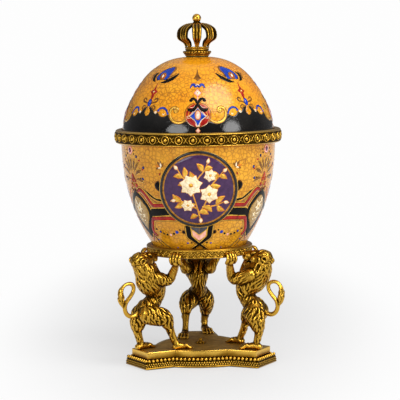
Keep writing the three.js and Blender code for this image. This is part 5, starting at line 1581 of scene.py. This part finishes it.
    # The round jewel
    jewel = (0.0, 250.4)
    fields(egg, oval(13.0, 12.6, count=24), once, jewel,
           [("brown", 1.03, 0.24), ("ochre", 0.985, 0.3), ("red", 0.92, 0.36)])
    stroke("amber", egg, [(7.0, 4.4), (8.8, 1.2), (9.4, -2.4)], [0.2, 0.8, 0.5], both, jewel, lift=0.46)
    stroke("ivory", egg, [(1.6, 7.6), (4.4, 3.2), (7.6, -0.6), (10.6, -2.0)], [0.2, 0.5, 0.5, 0.2], both,
           jewel, lift=0.5)
    field("ivory", egg, leaf((10.4, -2.6), (0.6, -11.8), 2.7, 0.9), both, jewel, lift=0.44)
    field("red", egg, leaf((10.6, -3.3), (1.3, -11.9), 2.6, 0.0), both, jewel, lift=0.54)
    stroke("ochre", egg, [(9.4, -4.2), (5.9, -7.6), (2.6, -10.8)], [0.1, 0.3, 0.1], both, jewel, lift=0.66)
    stroke("ivory", egg, [(2.4, 9.4), (4.6, 7.2), (7.4, 7.4)], [0.15, 0.45, 0.15], both, jewel, lift=0.5)
    strokes(egg, [(-0.9, 12.4), (0.9, 9.4), (3.2, 5.9), (5.6, 4.3), (8.2, 4.9), (9.6, 6.4)], both,
            [("amber", [1.0, 1.9, 2.3, 2.6, 2.3, 1.1], 0.56),
             ("ink", [1.0, 1.6, 2.0, 2.3, 2.0, 0.8], 0.66)],
            jewel)
    star = np.array([(0, 7.0), (2.6, 3.6), (8.0, -1.9), (3.4, -5.4), (0, -11.6), (-3.4, -5.4), (-8.0, -1.9),
                    (-2.6, 3.6)])
    fields(egg, star, once, jewel, [("ivory", 1.09, 0.7), ("blue", 1.0, 0.84)], centre=(0, -1), sharp=True)
    ovals(egg, once, jewel, [("brown", 3.5, 5.7, 0.94), ("ochre", 3.15, 5.3, 1.02),
                             ("pink", 2.3, 4.3, 1.12), ("ivory", 1.1, 2.2, 1.22)], (0, -0.6))
    fields(egg, [(0, 2.9), (2.5, 0), (0, -2.9), (-2.5, 0)], once, (0.0, 235.3),
           [("ochre", 1.05, 0.24), ("pink", 0.85, 0.34), ("ivory", 0.4, 0.46)], sharp=True)


def paint_bowl():
    """The bowl: side panels, straps that join them to the medallions, palmettes, sprigs and swags."""
    egg = BOWL_EGG
    panel = 60.4

    # Straps from medallion to panel
    band = [(22.0, 152.8), (29.0, 152.6), (38.0, 151.4), (45.4, 150.7), (48.4, 150.6), (47.2, 155.4),
            (44.6, 158.8), (38.0, 159.5), (31.0, 159.9), (25.0, 161.2)]
    field("gold", egg, [(a, z + (1.1 if k > 4 else -1.1)) for k, (a, z) in enumerate(band)], FRONTS,
          lift=0.14, sharp=True, centre=(36.0, 156.0))
    field("ink", egg, band, FRONTS, lift=0.24, sharp=True, centre=(36.0, 156.0))
    upper = [(27.0, 162.8), (33.0, 162.5), (38.4, 162.1), (41.0, 162.0), (42.6, 163.6), (46.6, 170.2),
             (49.6, 174.2), (53.0, 176.6), (56.2, 175.6), (57.4, 173.6)]
    lower = [(20.0, 149.6), (28.0, 149.8), (36.0, 149.2), (42.6, 148.6), (45.4, 148.2), (46.8, 146.6),
             (50.0, 140.6), (51.8, 136.6), (51.6, 133.0), (49.6, 131.6), (48.6, 133.6)]
    for line in (upper, lower):
        taper = np.ones(len(line))
        taper[-2:] = (0.8, 0.4)
        strokes(egg, line, FRONTS, [("brown", 3.9 * taper, 0.12), ("gold", 3.45 * taper, 0.2),
                                    ("brown", 2.65 * taper, 0.3), ("red", 2.3 * taper, 0.4)])
    thin = [(28.0, 167.0), (33.2, 167.8), (37.4, 168.8), (41.0, 171.4), (44.6, 174.6), (47.6, 177.4)]
    strokes(egg, thin, FRONTS, [("gold", [1.6, 1.75, 1.5, 1.75, 1.5, 0.6], 0.14),
                                ("ink", [1.15, 1.35, 1.1, 1.35, 1.1, 0.3], 0.24)])
    stroke("brown", egg, [(36.2, 165.4), (39.0, 166.4), (41.6, 168.6)], [0.2, 0.7, 0.2], FRONTS)

    # Side panels: pointed ovals with a stone coloured field and a small ivory spray
    drop = np.array([(0, 15.8), (5.2, 13.6), (10.4, 8.4), (13.6, 2.0), (13.4, -4.6), (10.2, -11.6),
                     (5.0, -19.2), (0.6, -24.6)])
    drop = np.vstack([drop, [(0.0, -25.4)], drop[:0:-1] * [-1, 1]])
    spot = (panel, 156.6)
    fields(egg, drop, FRONTS, spot, [("brown", 1.46, 0.08), ("red", 1.43, 0.14), ("gold", 1.37, 0.2),
                                     ("ink", 1.31, 0.27), ("gold", 0.98, 0.33), ("brown", 0.93, 0.39),
                                     ("tan", 0.89, 0.46)])
    stroke("brown", egg, [(0.0, -14.5), (-1.2, -8.0), (0.8, -2.0), (0.0, 5.0)], [0.5, 0.55, 0.5, 0.2],
           FRONTS, spot, lift=0.55)
    for a, b, w, bend in (((-0.8, -8.0), (-7.0, -4.0), 1.5, 0.8), ((0.2, -6.0), (6.6, -3.4), 1.5, -0.8),
                          ((-0.6, -11.5), (-4.6, -10.8), 1.1, 0.4), ((0.0, -11.0), (4.2, -9.4), 1.1, -0.4),
                          ((-0.4, 5.5), (-5.4, 8.8), 1.3, 0.5), ((0.4, 5.5), (5.2, 9.0), 1.3, -0.5)):
        field("brown", egg, leaf(a, b, w + 0.3, bend), FRONTS, spot, lift=0.56)
        field("ivory", egg, leaf(a, b, w * 0.85, bend), FRONTS, spot, lift=0.66)
    for (x, y), size, petals in (((0.0, 2.0), 6.2, 6), ((-3.6, -6.0), 3.2, 5), ((3.2, 9.6), 2.6, 5)):
        for k in range(petals):
            a = TAU * (k + 0.25) / petals
            tip = np.array([x + size * math.cos(a), y + size * math.sin(a)])
            field("brown", egg, leaf((x, y), tip, size * 0.36, fullest=0.62), FRONTS, spot, lift=0.62)
            field("ivory", egg, leaf((x, y), (tip - (x, y)) * 0.92 + (x, y), size * 0.28, fullest=0.62),
                  FRONTS, spot, lift=0.76)
        field("gold", egg, oval(size * 0.2, size * 0.2, (x, y)), FRONTS, spot, lift=0.9, count=3)

    # Palmette, its flower and the spray above each panel
    foot = (panel - 0.4, 186.5)
    for k, (x, y, w, bend) in enumerate(((0.4, 22.6, 1.3, 0.0), (7.4, 21.2, 1.35, 0.4),
                                         (13.8, 18.0, 1.5, 0.9), (17.2, 10.0, 1.45, 1.2),
                                         (18.0, -2.6, 1.45, 2.0))):
        for side in ((1, -1) if k else (1,)):
            start = np.array([side * x * 0.3, y * 0.36 + 1.0])
            tip = np.array([side * x, y])
            field("gold", egg, leaf(start, tip * 1.03, w * 1.5, side * bend, 0.76), FRONTS, foot, lift=0.12)
            field("brown", egg, leaf(start, tip, w * 1.12, side * bend, 0.76), FRONTS, foot, lift=0.22)
    for x, y in ((14.2, 19.4), (18.2, 10.6)):
        for side in (1, -1):
            field("red", egg, oval(1.2, 0.9, (side * x, y)), FRONTS, foot, lift=0.3, count=3)
    for tip, base, w in (((0, 6.6), (0, -1.4), 1.5), ((-4.2, 1.2), (-1.0, -2.6), 1.15),
                         ((4.2, 1.2), (1.0, -2.6), 1.15), ((-6.4, -4.2), (-1.8, -7.4), 1.25),
                         ((6.4, -4.2), (1.8, -7.4), 1.25)):
        field("brown", egg, leaf(base, tip, w * 1.5 + 0.9, 0, 0.55), FRONTS, foot, lift=0.28)
        field("red", egg, leaf(base, tip, w * 1.5 + 0.4, 0, 0.55), FRONTS, foot, lift=0.38)
        field("ochre", egg, leaf(base, np.array(tip) * 0.7, w * 0.28, 0, 0.6), FRONTS, foot, lift=0.5)
    stroke("brown", egg, [(0, -2), (0, -8.6)], [0.4, 0.6], FRONTS, foot, lift=0.2)
    for x, y, w in ((0, -11.4, 1.5), (-3.6, -11.2, 1.1), (3.6, -11.2, 1.1), (-6.6, -9.4, 0.9),
                    (6.6, -9.4, 0.9)):
        field("brown", egg, oval(w + 0.35, w + 0.3, (x, y)), FRONTS, foot, lift=0.3, count=3)
        field("ink", egg, oval(w, w * 0.95, (x, y)), FRONTS, foot, lift=0.4, count=3)
    for side in (1, -1):
        large, small = ([(panel + side * a, z) for a, z in points] for points in
                        ([(15.3, 199.0), (13.3, 187.8), (8.0, 209.3)],
                         [(4.8, 211.8), (5.6, 219.7), (5.4, 215.2), (10.8, 188.0)]))
        spot_row("navy", egg, large, 1.6, FRONTS)
        spot_row("blue", egg, large[:2], 0.8, FRONTS, lift=0.34)
        spot_row("ink", egg, small, 0.95, FRONTS)
    bud = (panel, 215.2)
    ovals(egg, FRONTS, bud, [("red", 4.8, 4.5, 0.14), ("pink", 4.5, 4.2, 0.22), ("red", 2.5, 2.6, 0.32)])
    field("purple", egg, leaf((0, -2.3), (0, 2.3), 2.0), FRONTS, bud, lift=0.42)

    # Beside the medallion: dark drops and sprigs
    drop_at = (33.6, 182.0)
    field("brown", egg, [(-3.4, 4.9), (0.6, 4.4), (2.9, 1.2), (2.4, -2.6), (0.2, -5.0), (-2.6, -5.2)],
          FRONTS, drop_at, lift=0.2)
    field("ink", egg, [(-3.4, 4.2), (0.2, 3.6), (2.2, 1.0), (1.8, -2.2), (-0.2, -4.2), (-2.6, -4.6)],
          FRONTS, drop_at, lift=0.5, dome=1.2)
    sprig = (28.6, 200.4)
    for tip, w, tone in (((4.0, 5.6), 1.4, "brown"), ((6.8, 1.6), 1.4, "ochre"), ((0.2, 6.4), 1.2, "brown"),
                         ((6.2, -2.2), 1.3, "brown"), ((-3.2, 4.4), 1.2, "brown"),
                         ((0.4, 4.6), 0.9, "ivory"), ((3.4, -1.6), 0.9, "ivory")):
        field(tone, egg, leaf((0, -0.6), tip, w, 0.3), FRONTS, sprig, lift=0.32 if tone == "ivory" else 0.2)
    field("red", egg, oval(0.9, 1.2, (1.8, -7.0)), FRONTS, sprig, lift=0.2, count=3)
    field("brown", egg, leaf((0.4, -5.0), (3.0, -9.0), 0.7), FRONTS, sprig, lift=0.16)

    # Swags of dots and the crossed straps below the medallion
    dots = 1.6
    swag = [(46.0, 137.6), (41.6, 135.4), (38.0, 133.6), (34.0, 132.8), (26.2, 133.9), (22.4, 135.8),
            (18.8, 138.0)]
    spot_row("ink", egg, swag[:4] + swag[4:5] + swag[6:],
             np.array([0.75, 0.95, 0.85, 0.8, 0.75, 0.6]) * dots, FRONTS)
    spot_row("blue", egg, [swag[1], swag[5]], [1.1, 1.8], FRONTS, lift=0.32)
    spot_row("pink", egg, [(30.0, 132.8)], 1.3, FRONTS)
    field("brown", egg, oval(2.0, 2.5), FRONTS, (15.4, 136.2), lift=0.16, count=4)
    field("ink", egg, oval(1.35, 2.0, (-0.3, 0)), FRONTS, (15.4, 136.2), lift=0.28, count=4)
    strap = [(11.0, 143.2), (10.5, 139.6), (10.3, 135.4), (9.8, 131.6), (6.0, 128.0), (0.0, 123.6),
             (-6.0, 119.9), (-9.0, 118.2)]
    width = np.array([2.8, 2.9, 2.9, 2.7, 2.1, 1.6, 1.2, 1.1])
    strokes(egg, strap, FRONTS, [("brown", width + 1.2, 0.14), ("gold", width + 0.8, 0.22),
                                 ("ink", width, 0.3)])
    for side in (1, -1):
        half = [(0.0, 127.4), (side * 6.6, 132.2), (side * 6.9, 138.4), (0.0, 133.4)]
        wider = [(a * 1.08, z + (0.5 if k in (2, 3) else -0.5)) for k, (a, z) in enumerate(half)]
        field("gold", egg, wider, FRONT_ONCE, lift=0.15, sharp=True)
        field("pink", egg, half, FRONT_ONCE, lift=0.2, sharp=True)
    for side in (1, -1):
        half = [(0.0, 133.6), (side * 7.2, 139.2), (side * 8.6, 143.6), (0.0, 143.6)]
        field("grey", egg, half, FRONT_ONCE, lift=0.22, sharp=True)
    stroke("gold", egg, [(-8.4, 139.6), (-4.0, 136.2), (0.0, 133.2), (4.0, 136.2), (8.4, 139.6)], 0.4,
           FRONT_ONCE, lift=0.34)
    spot_row("ink", egg, [(8.4, 125.0), (4.6, 119.8), (20.4, 121.6)], [0.95, 0.8, 0.6], FRONTS)
    spot_row("blue", egg, [(12.8, 124.6), (26.0, 119.6)], [1.05, 0.7], FRONTS)
    fall = [(55.6, 138.6), (54.2, 132.0), (52.4, 127.2), (49.4, 122.8), (46.6, 119.6)]
    for line, w in ((fall, 0.55), ([(47.6, 126.6), (44.6, 124.2), (40.6, 121.2), (36.4, 118.4)], 0.5)):
        strokes(egg, line, FRONTS, [("brown", w + 0.5, 0.14), ("gold", w + 0.25, 0.18), ("ink", w, 0.26)])
    spot_row("ink", egg, [(58.0, 129.6), (57.0, 123.8)], 0.7, FRONTS)
    spot_row("purple", egg, [(52.0, 119.8)], 0.7, FRONTS)
    spot_row("blue", egg, [(49.6, 126.8)], 0.8, FRONTS)

    # Between the panels, on either side of the egg
    sides_once = [(0.0, 1), (180.0, 1)]
    sides = [(0.0, 1), (0.0, -1), (180.0, 1), (180.0, -1)]
    side_spot = (0.0, 171.0)
    strokes(egg, [(0.0, 153.4), (6.0, 154.2), (12.0, 156.6), (16.4, 160.0)], sides,
            [("gold", 3.4, 0.12), ("ink", 2.8, 0.22)])
    stroke("red", egg, [(0.0, 160.4), (6.0, 161.2), (11.0, 164.0), (15.6, 170.4), (20.0, 176.0)], 1.0,
           sides, lift=0.2)
    stroke("red", egg, [(0.0, 146.6), (6.0, 147.4), (12.0, 146.6), (16.0, 141.6), (18.0, 136.0)], 1.0,
           sides, lift=0.2)
    blossom(egg, side_spot, sides_once, 8, 7.6, "blue", "ivory", "gold")
    for y, size in ((190.0, 1.0), (196.0, 0.8), (201.5, 0.65)):
        spot_row("blue", egg, [(0.0, y)], size, sides_once)
    for side in (1, -1):
        field("brown", egg, leaf((side * 1.0, 9.5), (side * 7.0, 20.0), 1.4, side * -1.2), sides_once,
              side_spot)
        field("gold", egg, leaf((side * 1.0, 9.5), (side * 6.0, 18.0), 0.5, side * -1.0), sides_once,
              side_spot, lift=0.24)


def build_medallions():
    """A raised disc on the front and back: a purple field, an aged gilt line, a rounded black rim and a gilt
    edge, with a spray of ivory flowers and gilt leaves standing a little proud."""
    inner, rim_low, rim_high = 33.1, 34.9, 37.4
    radius = np.concatenate([np.linspace(0.02, inner - 3.0, 22), np.linspace(inner - 2.6, inner, 10),
                             inner + np.array([0.25, 0.6, 1.0, 1.4, 1.75]),
                             np.linspace(rim_low, rim_high, 9),
                             np.linspace(rim_high + 0.1, MEDALLION_RADIUS, 5)])
    rim = np.sqrt(np.clip(1.0 - ((radius - 36.15) / 1.4) ** 2, 0.0, 1.0))
    field_edge = 0.55 * np.clip((radius - inner + 4.0) / 4.0, 0.0, 1.0) ** 2
    gilt = 0.25 * bump(radius, inner + 1.0, 0.7)
    on_field, on_line, on_rim = radius < inner + 0.1, radius < rim_low - 0.02, radius < rim_high + 0.02
    height = np.where(on_field, 2.3 - field_edge, np.where(on_line, 1.95 + gilt,
                                                           np.where(on_rim, 1.9 + 1.2 * rim, 2.0)))
    height[-1] = 0.02
    slots = np.where(on_field, 2, np.where(on_line, 1, np.where(on_rim, 0, 3)))
    turn = turns(160)[:, None]
    x, q = radius * np.cos(turn), radius * np.sin(turn)
    for name, sign in (("front", 1.0), ("back", -1.0)):
        points = on_medallion(x, q, height[None, :] + 0.0 * x, sign)
        part = grid(points, wrap_u=True, slots=slots)
        part = turn_out(part, (0.0, 0.0, MEDALLION_Z))
        piece(f"medallion_disc_{name}", part, "box",
              [COLOURS[c] for c in ("black", "aged", "purple", "gold")], [f"medallion_{name}"])
        paint_medallion(sign, name)


def on_medallion(x, q, height, sign):
    """World points of the disc: x across and q up, height out from the bowl's own face."""
    z = MEDALLION_Z + q
    reach = bowl_radius(z) + height
    return np.stack([sign * x, -sign * np.sqrt(np.maximum(reach ** 2 - x ** 2, 1.0)), z], -1)


def paint_medallion(sign, name):
    """The spray on one disc: stems, leaves, four flowers and six buds, one piece for each colour."""
    coats, spread = {}, 1.07

    def lay(colour, points, rise):
        """Lays a grid of points on the disc, spread about its middle."""
        points = points * spread
        part = grid(on_medallion(points[..., 0], points[..., 1], 2.2 + rise, sign), wrap_u=True,
                    relief=rise * 2)
        coats.setdefault(colour, []).append(turn_out(part, (0.0, 0.0, MEDALLION_Z)))

    def shape(colour, outline, lift, dome=0.5):
        """A filled shape with a smooth outline."""
        edge = outlined(outline, 5, False)
        centre = edge.mean(0)
        share = np.array([1.0, 0.9, 0.6, 0.3, 0.02])
        rise = np.interp(share, [0.0, 0.9, 1.0], [1.0 + dome, 0.9, -0.4]) * lift
        ring = centre + (edge[:, None, :] - centre) * share[None, :, None]
        lay(colour, ring, np.broadcast_to(rise, ring.shape[:2]))

    def line(colour, points, half, lift):
        """A stroke through points."""
        path, dome = ribbon(np.asarray(points, float) * spread, half, 6)
        part = grid(on_medallion(path[..., 0], path[..., 1], 2.2 + dome * lift, sign), relief=dome * 0.4)
        coats.setdefault(colour, []).append(turn_out(part, (0.0, 0.0, MEDALLION_Z)))

    def flower(x, y, size, petals, turn):
        """Two layers of petals and a heart, a little lower than wide."""
        squash = 0.95
        for layer, (reach, w, lift) in enumerate(((1.0, 0.33, 0.35), (0.62, 0.25, 0.75))):
            for k in range(petals):
                a = math.radians(turn + 360 * (k + 0.5 * layer) / petals)
                tip = np.array([x + size * reach * math.cos(a), y + size * reach * math.sin(a) * squash])
                root = np.array([x, y])
                shape("ochre", leaf(root, tip, size * w + 0.45, fullest=0.66), lift)
                shape("ivory", leaf(root + (tip - root) * 0.1, root + (tip - root) * 0.95, size * w,
                                    fullest=0.66),
                      lift + 0.18, dome=0.8)
                line("ochre", [root + (tip - root) * 0.3, root + (tip - root) * 0.75], [0.35, 0.08],
                     lift + 0.5)
        shape("ochre", oval(size * 0.2, size * 0.2 * squash, (x, y)), 1.15)
        shape("gold", oval(size * 0.15, size * 0.15 * squash, (x, y)), 1.35, dome=0.4)

    stems = [[(1.0, -27.0), (-2.0, -15.0), (-6.0, -2.0), (-8.0, 6.0)],
             [(0.5, -22.0), (6.0, -12.0), (9.0, -3.0)], [(-1.0, -18.0), (-12.0, -12.0), (-20.0, -10.0)],
             [(-5.0, -4.0), (-2.0, 8.0), (5.0, 17.0), (8.0, 24.0)],
             [(3.0, -16.0), (14.0, -15.0), (22.0, -12.0)], [(-7.0, 4.0), (-15.0, 12.0), (-19.0, 19.0)],
             [(8.0, 0.0), (16.0, 9.0), (22.0, 16.0)]]
    for stem in stems:
        line("ochre", stem, np.linspace(1.0, 0.6, len(stem)), 0.25)
        line("gold", stem, np.linspace(0.5, 0.25, len(stem)), 0.4)
    leaves = [((-3, -13), (-11, -19), 2.2), ((0, -20), (9, -23), 2.1), ((-1, -24), (-8, -27), 1.7),
              ((4, -15), (12, -21), 2.1), ((-14, -11), (-22, -17), 2.0), ((-15, -11), (-24, -4), 2.1),
              ((16, -15), (23, -20), 1.9), ((15, -14), (24, -6), 2.0), ((-8, 5), (-19, 4), 2.3),
              ((-14, 11), (-23, 12), 1.9), ((-13, 11), (-13, 21), 1.9), ((-2, 8), (-8, 17), 2.2),
              ((4, 16), (-2, 24), 2.0), ((5, 17), (13, 20), 1.9), ((11, 4), (20, 3), 2.1),
              ((15, 9), (14, 17), 1.9), ((18, 12), (26, 9), 1.7)]
    for a, b, w in leaves:
        bend = 1.2 if (a[0] + b[1]) % 2 else -1.2
        shape("ochre", leaf(a, b, w * 1.3 + 0.35, bend), 0.22)
        shape("gold", leaf(a, np.array(a) + (np.array(b) - a) * 0.95, w * 1.05, bend), 0.4, dome=0.6)
        line("ochre", [np.array(a) + (np.array(b) - a) * s + [0, bend * math.sin(math.pi * s)] for s in
                       (0.1, 0.4, 0.85)], [0.28, 0.26, 0.08], 0.66)
    flower(-7.0, 4.0, 11.2, 7, 12)
    flower(9.4, -4.4, 9.4, 6, 30)
    flower(-10.0, -14.6, 6.4, 6, 0)
    flower(10.5, 12.6, 6.6, 6, 18)
    for x, y, a in ((-20, 19.6, 130), (8.6, 25.2, 75), (23.4, 16.8, 40), (24.0, -12.2, -10),
                    (-22.4, -10.0, 190), (1.6, -28.2, 270)):
        c, s = math.cos(math.radians(a)), math.sin(math.radians(a))
        shape("ochre", leaf((x - 2.4 * c, y - 2.4 * s), (x + 3.6 * c, y + 3.6 * s), 1.9), 0.4)
        shape("ivory", leaf((x - 1.8 * c, y - 1.8 * s), (x + 3.1 * c, y + 3.1 * s), 1.45), 0.62, dome=0.7)
        line("ochre", [(x - 1.2 * c, y - 1.2 * s), (x + 2.2 * c, y + 2.2 * s)], [0.3, 0.1], 0.95)
    for colour, parts in coats.items():
        piece(f"medallion_spray_{name}_{colour}", joined(parts), "box", [COLOURS[colour]])


def finish_fittings():
    """Gives the fittings that stay as they are in the frame their own finish."""
    finishes = {"base_felt": FELT, "crown_pad": FELT, "bowl_cork": CORK, "centre_screw": ZINC,
                "cradle_plate": TURNED}
    finishes.update({f"lion_screw_{k}": ZINC for k in range(1, 7)})
    for name in ("bowl_bolt", "bowl_washer", "cradle_washer", "cradle_nut", "crown_rod", "lid_washer",
                 "lid_nut"):
        finishes[name] = TURNED
    for name, material in finishes.items():
        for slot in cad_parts[name].material_slots:
            slot.material = material


def build_paint():
    """Joins the ornament into one piece for each colour and body."""
    paint_lid()
    paint_bowl()
    for (name, colour), parts in PAINTED.items():
        body = "box" if name == "bowl" else "lid"
        piece(f"{name}_paint_{colour}", joined(parts), body, [COLOURS[colour]])


build_lions()
build_medallions()
build_paint()
build_lid_body()
build_bowl_body()
build_collar()
build_cradle_ring()
build_crown()
build_foot()
build_plinth()
build_rosette()
finish_fittings()

bpy.context.view_layer.update()
